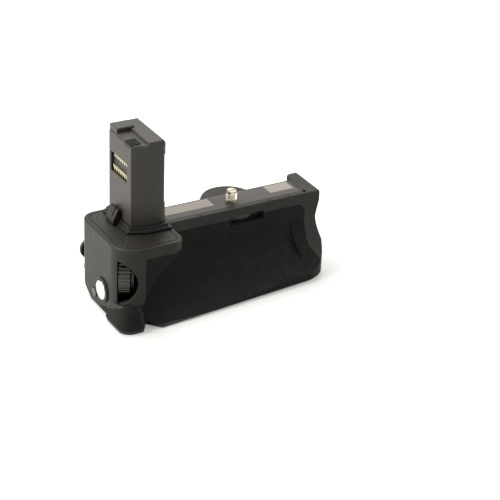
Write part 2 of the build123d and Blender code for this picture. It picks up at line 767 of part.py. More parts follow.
with BuildPart() as tripod_socket:
    with Locations((0, -socket_front, socket_depth / 2)):
        Cylinder(socket_radius + socket_wall - fit_gap, socket_depth)
        Cylinder(socket_radius, socket_depth, mode=Mode.SUBTRACT)
save(tripod_socket.part, "tripod_socket")


def screw_set(planes, name):
    """Small cross-head screws, one at each plane's origin, sunk below it."""
    with BuildPart() as screws:
        for place in planes:
            with BuildSketch(place.offset(-screw_head_height)):
                Circle(screw_head_radius)
            extrude(amount=screw_head_height)
            with BuildSketch(place.offset(-screw_length)):
                Circle(screw_shank_radius)
            extrude(amount=screw_length - screw_head_height)
            with BuildSketch(place):
                Rectangle(screw_head_radius * cross_length_share, screw_head_radius * cross_width_share)
                Rectangle(screw_head_radius * cross_width_share, screw_head_radius * cross_length_share)
            extrude(amount=-screw_head_height * cross_depth_share, mode=Mode.SUBTRACT)
    save(screws.part, name)


screw_set([Plane(origin=(x, y, body_height), z_dir=(0, 0, 1)) for x, y in top_screw_places], "top_screws")
screw_set([Plane(origin=(x, y, 0), z_dir=(0, 0, -1)) for x, y in base_screw_places], "base_screws")
screw_set([Plane(origin=(x, body_rear, z), z_dir=(0, 1, 0)) for x, z in rear_screw_places], "rear_screws")

# Camera seat plate with its two blank labels
with BuildPart() as camera_seat:
    add(seat_span)
    add(screw_hole, mode=Mode.SUBTRACT)
    for left, right in (left_label, right_label):
        add(span((left, right), (-label_edge, strip_rear - label_edge),
                 (body_height - label_thickness, body_height + overrun)), mode=Mode.SUBTRACT)
save(camera_seat.part, "camera_seat")
for (left, right), name in ((left_label, "left_label"), (right_label, "right_label")):
    with BuildPart() as label:
        add(span((left, right), (-label_edge, strip_rear - label_edge),
                 (body_height - label_thickness, body_height)))
    save(label.part, name)

# Battery plug: shell, contacts, collar and door catch
# The tip's raised right half and rounded block are one piece with the shell
tip_plate_left = -plug_right - tip_plate_width
with BuildPart() as tip_plate:
    add(plug_outline(-tip_inset, plug_top - wall, plug_top + tip_plate_rise))
    add(span((left_end, tip_plate_left), (front_end, rear_end), (0, plug_top + tip_plate_rise + overrun)),
        mode=Mode.SUBTRACT)
    fillet(tip_plate.faces().sort_by(Axis.Z)[-1].edges(), tip_round)
with BuildPart() as tip_block:
    add(span((tip_plate_left - tip_block_width, tip_plate_left + wall), (tip_block_front, tip_block_rear),
             (plug_top - wall, plug_top + tip_block_rise)))
    fillet(tip_block.faces().sort_by(Axis.Z)[-1].edges(), tip_round)

with BuildPart() as plug_shell:
    add(plug_outline(0, plug_base, plug_top))
    fillet(plug_shell.edges().filter_by(Axis.Z).sort_by(Axis.X)[-2:], plug_corner)
    chamfer(plug_shell.faces().sort_by(Axis.Z)[-1].edges(), plug_tip_edge)
    add(plug_outline(-plug_wall, plug_base, plug_top - plug_wall), mode=Mode.SUBTRACT)
    add(span((-plug_left - overrun, -plug_left + plug_wall + overrun), (-contact_front, contact_rear),
             (plug_base + contact_low, plug_base + contact_high)), mode=Mode.SUBTRACT)
    # Lip at the top right and guide rib at the foot of the right face
    add(span((-plug_right - fit_gap, -plug_right + lip_rise),
             (-plug_front + lip_margin, plug_rear - lip_margin),
             (plug_top - lip_height, plug_top - plug_tip_edge)))
    add(span((-plug_right - fit_gap, -plug_right + lip_rise),
             (-plug_front + lip_margin, -plug_front + rib_rear),
             (plug_base + collar_height + seat_gap, plug_base + rib_height)))
    add(tip_plate.part)
    add(tip_block.part)
    add(span((-plug_left - overrun, -plug_left + terminal_width), (terminal_front, terminal_rear),
             (plug_top - terminal_height, plug_top + overrun)), mode=Mode.SUBTRACT)
save(plug_shell.part, "plug_shell")

with BuildPart() as terminal_block:
    add(span((-plug_left, -plug_left + terminal_width - fit_gap), (terminal_front + fit_gap,
                                                                  terminal_rear - fit_gap),
             (plug_top - terminal_height, plug_top + terminal_rise)))
    pitch = (terminal_rear - terminal_front) / (terminal_slots + 1)
    for index in range(terminal_slots):
        y = terminal_front + pitch * (index + 1)
        add(span((-plug_left - overrun, -plug_left + terminal_width), (y - pitch / 4, y + pitch / 4),
                 (plug_top + terminal_rise - terminal_slot_depth, plug_top + overrun)), mode=Mode.SUBTRACT)
save(terminal_block.part, "tip_terminal_block")

board_left = -plug_left + plug_wall
contact_pitch = (contact_rear + contact_front) / (contact_count + 1)
contact_ys = [-contact_front + contact_pitch * (index + 1) for index in range(contact_count)]
with BuildPart() as plug_board:
    add(span((board_left, board_left + contact_board_thickness),
             (-contact_front - wall / 2, contact_rear + wall / 2),
             (plug_base + contact_low - wall / 2, plug_base + contact_high + wall / 2)))
save(plug_board.part, "plug_contact_board")
with BuildPart() as upper_contacts:
    for y in contact_ys:
        add(span((board_left - contact_pad_rise, board_left), (y - contact_width / 2, y + contact_width / 2),
                 (plug_base + contact_high - contact_pad_drop - contact_pad_length,
                  plug_base + contact_high - contact_pad_drop)))
save(upper_contacts.part, "plug_upper_contacts")
with BuildPart() as lower_contacts:
    for y in contact_ys:
        with BuildSketch(Plane.XZ.offset(-y - contact_width / 2)):
            low = plug_base + contact_low + contact_width / 2
            high = low + contact_leaf_length
            Polygon((board_left, low), (board_left, low + contact_leaf_thickness * 2),
                    (board_left - contact_leaf_rise, high), (board_left - contact_leaf_rise
                                                             - contact_leaf_thickness, high),
                    (board_left - contact_leaf_thickness * 2, low), align=None)
        extrude(amount=contact_width)
save(lower_contacts.part, "plug_spring_contacts")

with BuildPart() as collar:
    add(plug_outline(collar_wall + collar_foot, plug_base, plug_base + collar_foot_height))
    add(plug_outline(collar_wall, plug_base + collar_foot_height, plug_base + collar_height))
    add(plug_outline(fit_gap, plug_base, plug_base + collar_height), mode=Mode.SUBTRACT)
    add(span((left_end, catch_right), (catch_front - seat_gap, catch_rear + seat_gap),
             (plug_base, plug_top)), mode=Mode.SUBTRACT)
save(collar.part, "plug_collar")
with BuildPart() as door_catch:
    with BuildSketch(Plane.XZ.offset(-catch_rear)):
        Polygon((-catch_left, plug_base), (catch_right, plug_base), (catch_right, plug_base + catch_height),
                (catch_right - catch_tip, plug_base + catch_height),
                (-catch_left, plug_base + catch_foot), align=None)
    extrude(amount=catch_rear - catch_front)
    with Locations((catch_right - catch_tip, catch_front + catch_slot_place, plug_base + catch_height)):
        Box(catch_tip * 3, catch_slot_width, catch_height, mode=Mode.SUBTRACT)
save(door_catch.part, "door_catch")


# Thumb wheel with its ring gear, and the camera screw with its pinion
wheel_offset = math.hypot(wheel_x, wheel_y)
gear_module = 2 * wheel_offset / (ring_teeth - pinion_teeth)
ring_pitch = gear_module * ring_teeth / 2
pinion_pitch = gear_module * pinion_teeth / 2
mesh_angle = math.degrees(math.atan2(-wheel_y, -wheel_x))


def teeth(centre, count, tip, root, tip_width, root_width, start):
    """Tapered teeth between a tip radius and a root radius, round a centre, as one sketch."""
    with BuildSketch() as crown:
        with Locations(centre):
            with PolarLocations(0, count, start_angle=start):
                Polygon((root, -root_width / 2), (tip, -tip_width / 2), (tip, tip_width / 2),
                        (root, root_width / 2), align=None)
    return crown.sketch


circular_pitch = math.pi * gear_module
ring_tip = ring_pitch - gear_module * tip_share
ring_root = ring_pitch + gear_module * root_share
pinion_tip = pinion_pitch + gear_module * tip_share
pinion_root = pinion_pitch - gear_module * root_share
ring_crown = teeth((wheel_x, wheel_y), ring_teeth, ring_tip, ring_root + overrun / 2,
                   circular_pitch * tip_width_share, circular_pitch * root_width_share,
                   mesh_angle + 180 / ring_teeth)
pinion_crown = teeth((0, 0), pinion_teeth, pinion_tip, pinion_root - overrun / 2,
                     circular_pitch * tip_width_share, circular_pitch * root_width_share, mesh_angle)
with BuildPart() as thumb_wheel:
    with BuildSketch(Plane.XY.offset(wheel_floor)):
        with Locations((wheel_x, wheel_y)):
            Circle(wheel_radius)
            with PolarLocations(wheel_radius, knurl_count):
                RegularPolygon(knurl_depth, 4, mode=Mode.SUBTRACT)
    extrude(amount=wheel_top - wheel_floor)
    with BuildSketch(Plane.XY.offset(wheel_floor + wheel_web)):
        with Locations((wheel_x, wheel_y)):
            Circle(ring_root)
            Circle(wheel_hub_radius, mode=Mode.SUBTRACT)
        add(ring_crown, mode=Mode.SUBTRACT)
    extrude(amount=wheel_top - wheel_floor, mode=Mode.SUBTRACT)
    with Locations((wheel_x, wheel_y, wheel_floor)):
        Cylinder(wheel_axle_radius + shaft_gap, (wheel_top - wheel_floor) * 3, mode=Mode.SUBTRACT)
save(thumb_wheel.part, "thumb_wheel")

pinion_low = wheel_floor + wheel_web + slide_gap
pinion_top = wheel_top
thread_start = body_height + seat_gap
with BuildPart() as camera_screw:
    with BuildSketch(Plane.XY.offset(pinion_low)):
        Circle(pinion_root)
        add(pinion_crown)
    extrude(amount=pinion_top - pinion_low)
    with BuildSketch(Plane.XY.offset(pinion_top)):
        Circle(screw_neck_radius)
    extrude(amount=thread_start - pinion_top)
    with BuildSketch(Plane.XY.offset(thread_start)):
        Circle(screw_radius)
    extrude(amount=screw_top - thread_start)
    chamfer(camera_screw.faces().sort_by(Axis.Z)[-1].edges(), thread_depth)
    # Thread, as evenly spaced grooves above the camera seat
    turns = int((screw_top - body_height) / thread_pitch)
    for index in range(turns):
        with BuildSketch(Plane.XZ):
            z = body_height + thread_pitch * (index + 0.5)
            Polygon((screw_radius - thread_depth, z), (screw_radius + overrun, z - thread_pitch / 2),
                    (screw_radius + overrun, z + thread_pitch / 2), align=None)
        revolve(axis=Axis.Z, mode=Mode.SUBTRACT)
    with BuildSketch(Plane.XY.offset(screw_top)):
        Rectangle(screw_radius * 3, thread_depth)
    extrude(amount=-thread_depth, mode=Mode.SUBTRACT)
save(camera_screw.part, "camera_screw")

with BuildPart() as wheel_axle:
    add(rod((wheel_x, wheel_y, wheel_pin_low), (0, 0, 1), wheel_axle_radius, wheel_pin_top - wheel_pin_low))
save(wheel_axle.part, "wheel_axle")

# Shutter button, power ring and the small button on the end face
with BuildPart() as power_ring:
    with BuildSketch(Plane(origin=(left_face - seat_gap, shutter_y, shutter_z), z_dir=(-1, 0, 0))):
        Circle(power_ring_radius)
        Circle(shutter_radius + button_gap, mode=Mode.SUBTRACT)
    extrude(amount=power_ring_thickness)
    chamfer(power_ring.faces().sort_by(Axis.X)[0].edges().sort_by(SortBy.LENGTH)[-1], groove_depth)
save(power_ring.part, "power_ring")
shutter_back = left_face - seat_gap - shutter_travel
with BuildPart() as shutter_button:
    with BuildSketch(Plane(origin=(shutter_back, shutter_y, shutter_z), z_dir=(-1, 0, 0))):
        Circle(shutter_radius)
    extrude(amount=shutter_thickness)
    fillet(shutter_button.faces().sort_by(Axis.X)[0].edges(), shutter_thickness / 3)
    with BuildSketch(Plane(origin=(shutter_back, shutter_y, shutter_z), z_dir=(1, 0, 0))):
        Circle(shutter_stem_radius)
    extrude(amount=shutter_stem_length)
save(shutter_button.part, "shutter_button")
stem_end = shutter_back + shutter_stem_length
with BuildPart() as shutter_switch:
    add(span((stem_end + shutter_travel + slide_gap, switch_bracket_left),
             (shutter_y - switch_half, shutter_y + switch_half),
             (shutter_z - switch_half, shutter_z + switch_half)))
save(shutter_switch.part, "shutter_switch")
with BuildPart() as switch_bracket:
    add(span((switch_bracket_left, switch_bracket_left + wall / 2),
             (shutter_y - switch_half, notch_front - wall * 2),
             (cover_base, shutter_z)))
    add(lobe_region, mode=Mode.SUBTRACT)
save(switch_bracket.part, "switch_bracket")
with BuildPart() as end_button:
    end_button_back = left_face + button_pocket - end_button_travel
    with BuildSketch(Plane(origin=(end_button_back, end_button_y, end_button_z), z_dir=(-1, 0, 0))):
        Circle(end_button_radius)
    extrude(amount=button_pocket - end_button_travel + end_button_rise)
    fillet(end_button.faces().sort_by(Axis.X)[0].edges(), groove_depth)
save(end_button.part, "end_button")

# Front dial on its bracket and pin
with BuildPart() as front_dial:
    with BuildSketch(Plane(origin=along_dial(-dial_thickness / 2), z_dir=dial_axis)):
        Circle(dial_radius)
        with PolarLocations(dial_radius, dial_groove_count):
            RegularPolygon(dial_groove_depth, 4, mode=Mode.SUBTRACT)
        Circle(axle_radius + shaft_gap, mode=Mode.SUBTRACT)
    extrude(amount=dial_thickness)
save(front_dial.part, "front_dial")
with BuildPart() as dial_bracket:
    add(rod(along_dial(bracket_near), dial_axis, dial_radius - wall, bracket_thickness))
    add(rod(along_dial(0), dial_axis, axle_radius + fit_gap, bracket_near + wall), mode=Mode.SUBTRACT)
save(dial_bracket.part, "dial_bracket")
with BuildPart() as dial_pin:
    add(rod(along_dial(-dial_thickness / 2 - slide_gap), dial_axis, axle_radius,
            dial_thickness / 2 + slide_gap + bracket_near + bracket_thickness))
save(dial_pin.part, "dial_pin")

# Rear dial on its post and pin
rear_dial_left = rear_dial_x - rear_dial_thickness / 2
with BuildPart() as rear_dial:
    with BuildSketch(Plane(origin=(rear_dial_left, rear_dial_y, rear_dial_z), z_dir=(1, 0, 0))):
        Circle(rear_dial_radius)
        with PolarLocations(rear_dial_radius, dial_groove_count):
            RegularPolygon(dial_groove_depth, 4, mode=Mode.SUBTRACT)
        Circle(axle_radius + shaft_gap, mode=Mode.SUBTRACT)
    extrude(amount=rear_dial_thickness)
save(rear_dial.part, "rear_dial")
post_left = rear_dial_x + rear_dial_thickness / 2 + slide_gap
with BuildPart() as rear_dial_post:
    add(span((post_left, post_left + bracket_thickness), (notch_front, rear_dial_y + wall * 2),
             (cover_base, rear_dial_z + wall * 2)))
    add(rod((rear_dial_left, rear_dial_y, rear_dial_z), (1, 0, 0), axle_radius + fit_gap,
            rear_dial_thickness * 3), mode=Mode.SUBTRACT)
save(rear_dial_post.part, "rear_dial_post")
with BuildPart() as rear_dial_pin:
    add(rod((rear_dial_left - slide_gap / 2, rear_dial_y, rear_dial_z), (1, 0, 0), axle_radius,
            rear_dial_thickness + slide_gap * 1.5 + bracket_thickness))
save(rear_dial_pin.part, "rear_dial_pin")

# Mode lever with its button, and the small button under it, on the rear of the pillar
with BuildPart() as mode_lever:
    with BuildSketch(Plane(origin=(lever_x, body_rear + seat_gap, lever_z), z_dir=(0, 1, 0))):
        Circle(lever_radius)
        with Locations((0, lever_radius)):
            Rectangle(lever_radius / 2, lever_radius / 2)
        Circle(lever_button_radius + button_gap, mode=Mode.SUBTRACT)
    extrude(amount=lever_thickness)
save(mode_lever.part, "mode_lever")
mode_button_back = body_rear + seat_gap + end_button_travel
with BuildPart() as mode_button:
    with BuildSketch(Plane(origin=(lever_x, mode_button_back, lever_z), z_dir=(0, 1, 0))):
        Circle(lever_button_radius)
    extrude(amount=lever_thickness + lever_button_rise - end_button_travel)
    with BuildSketch(Plane(origin=(lever_x, mode_button_back, lever_z), z_dir=(0, -1, 0))):
        Circle(lever_button_radius - lever_lip)
    extrude(amount=wall)
save(mode_button.part, "mode_button")
rear_button_back = body_rear - button_pocket + end_button_travel
with BuildPart() as rear_button:
    with BuildSketch(Plane(origin=(rear_button_x, rear_button_back, rear_button_z), z_dir=(0, 1, 0))):
        Circle(rear_button_radius)
    extrude(amount=button_pocket - end_button_travel + rear_button_rise)
    fillet(rear_button.faces().sort_by(Axis.Y)[-1].edges(), groove_depth)
save(rear_button.part, "rear_button")

# Electronics
control_board_left = post_left + bracket_thickness + slide_gap
with BuildPart() as control_board:
    add(span((control_board_left, control_board_left + board_thickness),
             (-wall, body_rear - wall - slide_gap), (cover_base, seam_height - wall * 2)))
save(control_board.part, "control_board")
board_front = board_bay_front + seat_gap
with BuildPart() as main_board:
    add(span((-board_bay_left + slide_gap, board_bay_right - slide_gap),
             (board_front, board_front + board_thickness),
             (board_bay_low + slide_gap, board_bay_high - slide_gap)))
save(main_board.part, "main_board")
with BuildPart() as board_chips:
    for x, z, width in chips:
        add(span((x, x + width),
                 (board_front + board_thickness, board_front + board_thickness + chip_height),
                 (z, z + width)))
save(board_chips.part, "board_chips")

# Batteries, tray, end cap and lock
tray_floor = bay_floor + tray_gap
tray_front = -bay_front + tray_gap
tray_rear = bay_rear - tray_gap
cell_front = knob_y - battery_depth / 2
cell_low = tray_floor + tray_wall + cell_gap
second_left = -battery_left + battery_length + cell_gap
tray_end = second_left + battery_length + cell_gap * 2
tray_start = -battery_left - cell_gap - tray_wall
with BuildPart() as battery_tray:
    add(span((tray_start, cap_left), (tray_front, tray_rear), (tray_floor, tray_floor + tray_wall)))
    for low, high in ((tray_front, tray_front + tray_wall), (tray_rear - tray_wall, tray_rear)):
        add(span((tray_start, tray_end + tray_wall), (low, high), (tray_floor, tray_height)))
    add(span((tray_end, tray_end + tray_wall), (tray_front, tray_rear), (tray_floor, tray_height)))
    add(span((tray_start, tray_start + tray_wall), (tray_front, tray_rear),
             (tray_floor, tray_floor + wall * 2)))
save(battery_tray.part, "battery_tray")
for left, name in ((-battery_left, "inner_battery"), (second_left, "outer_battery")):
    with BuildPart() as cell:
        add(span((left, left + battery_length), (cell_front, cell_front + battery_depth),
                 (cell_low, cell_low + battery_height)))
        chamfer(cell.edges().filter_by(Axis.X), battery_edge)
    save(cell.part, name)
with BuildPart() as contact_block:
    add(span((-bay_left, -bay_left + wall), (knob_y - wall * 3, knob_y + wall * 3), (bay_floor + wall * 4,
                                                                                  bay_floor + wall * 10)))
save(contact_block.part, "bay_contact_block")
with BuildPart() as bay_contacts:
    for y in (knob_y - wall * 2, knob_y, knob_y + wall * 2):
        for z in (bay_floor + wall * 6, bay_floor + wall * 8):
            add(rod((-bay_left + wall, y, z), (1, 0, 0), contact_width / 2,
                    bay_left - wall - battery_left - cell_gap - tray_wall - slide_gap / 2))
save(bay_contacts.part, "bay_contacts")

knob_face = flare_reach - seat_gap
with BuildPart() as tray_cap:
    cap_room = span((cap_left, right_end), (tray_front, tray_rear), (tray_floor, bay_top - tray_gap))
    add(form.intersect(cap_room))
    add(rod((knob_face - knob_thickness, knob_y, knob_height), (1, 0, 0), knob_radius + slide_gap,
            knob_thickness * 2), mode=Mode.SUBTRACT)
    add(rod((cap_left - overrun, knob_y, knob_height), (1, 0, 0), knob_shaft_radius + shaft_gap, wall * 4),
        mode=Mode.SUBTRACT)
save(tray_cap.part, "tray_cap")
with BuildPart() as tray_lock:
    add(rod((knob_face - knob_thickness + seat_gap, knob_y, knob_height), (1, 0, 0), knob_radius,
            knob_thickness - seat_gap))
    add(rod((latch_left, knob_y, knob_height), (1, 0, 0), knob_shaft_radius,
            knob_face - knob_thickness - latch_left + seat_gap))
    add(span((latch_left, latch_left + latch_thickness),
             (knob_y - latch_width / 2, knob_y + latch_width / 2),
             (knob_height - latch_width / 2, knob_height + latch_length)))
    add(span((knob_face - knob_slot / 2, right_end), (knob_y - knob_slot / 2, knob_y + knob_slot / 2),
             (knob_height - knob_radius - overrun, knob_height + knob_radius + overrun)), mode=Mode.SUBTRACT)
save(tray_lock.part, "tray_lock")
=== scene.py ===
"""Camera battery grip: softened shells, rubber coverings, battery plug, controls, screw and studio."""

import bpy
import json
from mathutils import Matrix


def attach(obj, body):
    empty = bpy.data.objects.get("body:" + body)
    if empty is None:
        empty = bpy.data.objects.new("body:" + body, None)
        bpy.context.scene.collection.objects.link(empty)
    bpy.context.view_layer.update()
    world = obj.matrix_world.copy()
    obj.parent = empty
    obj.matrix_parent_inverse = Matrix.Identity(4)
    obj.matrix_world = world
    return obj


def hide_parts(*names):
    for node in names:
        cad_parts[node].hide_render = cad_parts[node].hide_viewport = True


bl_info = {
    "name": "Camera battery grip",
    "version": (1, 0, 0),
    "blender": (4, 5, 0),
    "location": "View3D > Sidebar > Grip",
    "description": "Builds the visible pieces, finishes and studio of a camera battery grip",
    "category": "Object",
}

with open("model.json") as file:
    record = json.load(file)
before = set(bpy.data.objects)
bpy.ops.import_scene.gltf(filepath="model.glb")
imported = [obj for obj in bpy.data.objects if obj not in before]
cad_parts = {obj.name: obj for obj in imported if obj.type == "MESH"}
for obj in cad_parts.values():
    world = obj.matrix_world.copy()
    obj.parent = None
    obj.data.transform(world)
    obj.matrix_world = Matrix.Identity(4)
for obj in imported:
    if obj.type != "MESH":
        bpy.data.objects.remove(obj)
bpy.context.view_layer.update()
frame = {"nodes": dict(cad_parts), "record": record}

import json
import math

import bmesh
import bpy
from bpy.props import FloatProperty, FloatVectorProperty, IntProperty, PointerProperty
from mathutils import Matrix, Vector

MM = 0.001
NODES = frame["nodes"]
RECORD = frame["record"]
BODY_OF_NODE = {node: body for body, nodes in RECORD["behaviour"]["bodies"].items() for node in nodes}
SLOT_OF_NODE = {entry["node"]: entry["material_slot"] for entry in RECORD["subparts"]}


# Settings

class GripSizes(bpy.types.PropertyGroup):
    """Sizes of the visible pieces that a user would change."""
    shell_edge: FloatProperty(name="Shell edge", description="Roundness of the outer shells' edges",
                              default=0.45 * MM, unit='LENGTH', precision=5)
    small_edge: FloatProperty(name="Small edge", description="Roundness of the small pieces' edges",
                              default=0.12 * MM, unit='LENGTH', precision=5)
    seam_edge: FloatProperty(name="Seam edge", description="Roundness of the rubber coverings' edges",
                             default=0.3 * MM, unit='LENGTH', precision=5)
    screw_radius: FloatProperty(name="Screw radius", description="Outer radius of the camera screw's thread",
                                default=3.175 * MM, unit='LENGTH', precision=5)
    screw_foot: FloatProperty(name="Screw foot", description="Height at which the thread starts",
                              default=45.1 * MM, unit='LENGTH', precision=5)
    screw_top: FloatProperty(name="Screw top", description="Height of the camera screw's end",
                             default=51.6 * MM, unit='LENGTH', precision=5)
    screw_slot: FloatProperty(name="Screw slot", description="Width of the slot in the screw's end",
                              default=0.7 * MM, unit='LENGTH', precision=5)
    thread_pitch: FloatProperty(name="Thread pitch", description="Pitch of the camera screw's thread",
                                default=1.27 * MM, unit='LENGTH', precision=5)
    thread_depth: FloatProperty(name="Thread depth", description="Depth of the camera screw's thread",
                                default=0.6 * MM, unit='LENGTH', precision=5)
    dish_depth: FloatProperty(name="Button dish", description="Sets the hollow in the shutter button's face",
                              default=0.25 * MM, unit='LENGTH', precision=5)
    pad_ribs: IntProperty(name="Pad ribs", description="Ribs on the thumb pad", default=9, min=2, max=20)
    rib_rise: FloatProperty(name="Rib rise", description="Height of the thumb pad's ribs", default=0.35 * MM,
                            unit='LENGTH', precision=5)


class GripFinish(bpy.types.PropertyGroup):
    """Colours and surface values of the grip's finishes."""
    shell: FloatVectorProperty(name="Shell plastic", description="Moulded plastic of the shells",
                               subtype='COLOR', size=3, min=0, max=1, default=(0.0270, 0.0240, 0.0195))
    cover: FloatVectorProperty(name="Satin cover", description="Satin paint of the covers", subtype='COLOR',
                               size=3, min=0, max=1, default=(0.0240, 0.0212, 0.0168))
    seat: FloatVectorProperty(name="Camera seat", description="Paint of the plate under the camera",
                              subtype='COLOR', size=3, min=0, max=1, default=(0.0700, 0.0620, 0.0500))
    rubber: FloatVectorProperty(name="Rubber", description="Rubber of the hand grip", subtype='COLOR',
                                size=3, min=0, max=1, default=(0.0090, 0.0079, 0.0063))
    plug: FloatVectorProperty(name="Plug plastic", description="Moulded plastic of the battery plug",
                              subtype='COLOR', size=3, min=0, max=1, default=(0.0470, 0.0418, 0.0345))
    label: FloatVectorProperty(name="Blank label", description="Blank labels on the camera seat",
                               subtype='COLOR', size=3, min=0, max=1, default=(0.39, 0.350, 0.298))
    grain: FloatProperty(name="Grain", description="Strength of the moulded grain", default=0.35,
                         min=0, max=1, subtype='FACTOR')


class GripStudio(bpy.types.PropertyGroup):
    """Camera and light of the studio."""
    focal: FloatProperty(name="Focal length", description="Focal length in millimetres",
                         default=127.48, min=20)
    distance: FloatProperty(name="Camera distance", description="Camera to aim point", default=0.97459,
                            unit='LENGTH')
    bearing: FloatProperty(name="Bearing", description="Camera's heading", default=math.radians(30.57),
                           subtype='ANGLE')
    elevation: FloatProperty(name="Elevation", description="Camera's height angle",
                             default=math.radians(28.0), subtype='ANGLE')
    roll: FloatProperty(name="Roll", description="Camera's roll", default=math.radians(2.27),
                        subtype='ANGLE')
    aim: FloatVectorProperty(name="Aim", description="Point the camera looks at", subtype='TRANSLATION',
                             size=3, unit='LENGTH', default=(11.32 * MM, -2.8 * MM, 13.44 * MM))
    floor: FloatVectorProperty(name="Floor", description="Floor colour", subtype='COLOR', size=3,
                               min=0, max=1, default=(0.93, 0.925, 0.915))
    bounce: FloatProperty(name="Bounce", description="Share of the floor's colour that lights the grip",
                          default=0.35, min=0, max=1, subtype='FACTOR')
    glow: FloatProperty(name="Floor glow", description="Light of the floor that only the view sees",
                        default=0.30, min=0)
    near: FloatProperty(name="Near floor", description="Reach of the floor that shows the grip's shadow",
                        default=0.30, unit='LENGTH')
    ambient: FloatProperty(name="Ambient", description="Strength of the world's light", default=0.16, min=0)


# Shader groups

GRAIN_SOFTNESS = 0.6                # how softly the grain's cells join
GRAIN_FINE = 1.7                    # scale of the grain's fine noise, times the cells' scale
GRAIN_WIDE = 0.12                   # scale of its unevenness, times the cells' scale
GRAIN_SWELL = 0.4                   # height of its unevenness, times the fine noise's
RUB_SCALE = 3.3                     # scale of rubbed spots, times the smudges' scale
MARK_LEVEL = 0.42                   # noise level over which hands leave a mark
MARK_SPREAD = 0.3                   # how far the spread lowers that level
MARK_CONTRAST = 4.0
CLEAN_SHARE = 0.72                  # share of the dust pattern's cells that stay clean
LINE_STRETCH = (0.08, 0.08, 1.0)    # the turned lines' scale along each axis


def new_group(name, inputs, outputs):
    """An empty shader node group with named sockets."""
    group = bpy.data.node_groups.new(name, 'ShaderNodeTree')
    for label, kind, value in inputs:
        socket = group.interface.new_socket(name=label, in_out='INPUT', socket_type=kind)
        if value is not None:
            socket.default_value = value
    for label, kind in outputs:
        group.interface.new_socket(name=label, in_out='OUTPUT', socket_type=kind)
    return group, group.nodes.new('NodeGroupInput'), group.nodes.new('NodeGroupOutput')


def math_node(tree, operation, first, second=None, clamp=False):
    """A Math node fed by sockets or numbers."""
    node = tree.nodes.new('ShaderNodeMath')
    node.operation = operation
    node.use_clamp = clamp
    for index, value in enumerate((first, second)):
        if value is None:
            continue
        if isinstance(value, (int, float)):
            node.inputs[index].default_value = value
        else:
            tree.links.new(value, node.inputs[index])
    return node.outputs[0]


def noise(tree, vector, scale, detail=3.0, roughness=0.55):
    """A 3-D noise pattern; scale is a number or a socket."""
    node = tree.nodes.new('ShaderNodeTexNoise')
    tree.links.new(vector, node.inputs['Vector'])
    if isinstance(scale, (int, float)):
        node.inputs['Scale'].default_value = scale
    else:
        tree.links.new(scale, node.inputs['Scale'])
    node.inputs['Detail'].default_value = detail
    node.inputs['Roughness'].default_value = roughness
    return node.outputs['Fac']


def scaled_noise(group, source, share, detail):
    """A noise pattern on a share of its shader group's own scale."""
    scale = math_node(group, 'MULTIPLY', source.outputs['Scale'], share)
    return noise(group, source.outputs['Vector'], scale, detail)


def build_grain_group():
    """Spark-eroded grain of a mould: fine cells over a softer unevenness."""
    group, source, sink = new_group(
        "moulded grain", [("Vector", 'NodeSocketVector', None), ("Scale", 'NodeSocketFloat', 2600.0),
                          ("Cells", 'NodeSocketFloat', 0.5)],
        [("Height", 'NodeSocketFloat'), ("Mask", 'NodeSocketFloat')])
    cells = group.nodes.new('ShaderNodeTexVoronoi')
    cells.feature = 'SMOOTH_F1'
    group.links.new(source.outputs['Vector'], cells.inputs['Vector'])
    group.links.new(source.outputs['Scale'], cells.inputs['Scale'])
    cells.inputs['Smoothness'].default_value = GRAIN_SOFTNESS
    fine = scaled_noise(group, source, GRAIN_FINE, 2.0)
    wide = scaled_noise(group, source, GRAIN_WIDE, 3.0)
    lumps = math_node(group, 'MULTIPLY', cells.outputs['Distance'], source.outputs['Cells'])
    height = math_node(group, 'ADD', math_node(group, 'SUBTRACT', fine, lumps),
                       math_node(group, 'MULTIPLY', wide, GRAIN_SWELL))
    group.links.new(height, sink.inputs['Height'])
    group.links.new(wide, sink.inputs['Mask'])
    return group


def build_handling_group():
    """Faint smudges and rubbed patches left by hands."""
    group, source, sink = new_group(
        "handling marks", [("Vector", 'NodeSocketVector', None), ("Scale", 'NodeSocketFloat', 60.0),
                           ("Spread", 'NodeSocketFloat', 0.5)],
        [("Mask", 'NodeSocketFloat')])
    patch = noise(group, source.outputs['Vector'], source.outputs['Scale'], detail=5.0, roughness=0.6)
    rubbed = scaled_noise(group, source, RUB_SCALE, 4.0)
    both = math_node(group, 'MULTIPLY', patch, rubbed)
    level = math_node(group, 'SUBTRACT', MARK_LEVEL,
                      math_node(group, 'MULTIPLY', source.outputs['Spread'], MARK_SPREAD))
    over = math_node(group, 'SUBTRACT', both, level)
    group.links.new(math_node(group, 'MULTIPLY', over, MARK_CONTRAST, clamp=True), sink.inputs['Mask'])
    return group


def build_dust_group():
    """Sparse specks of light dust."""
    group, source, sink = new_group(
        "dust specks", [("Vector", 'NodeSocketVector', None), ("Scale", 'NodeSocketFloat', 220.0),
                        ("Size", 'NodeSocketFloat', 0.035)],
        [("Mask", 'NodeSocketFloat')])
    cells = group.nodes.new('ShaderNodeTexVoronoi')
    cells.feature = 'F1'
    group.links.new(source.outputs['Vector'], cells.inputs['Vector'])
    group.links.new(source.outputs['Scale'], cells.inputs['Scale'])
    near = math_node(group, 'LESS_THAN', cells.outputs['Distance'], source.outputs['Size'])
    separate = group.nodes.new('ShaderNodeSeparateColor')
    group.links.new(cells.outputs['Color'], separate.inputs[0])
    few = math_node(group, 'GREATER_THAN', separate.outputs[0], CLEAN_SHARE)
    group.links.new(math_node(group, 'MULTIPLY', near, few), sink.inputs['Mask'])
    return group


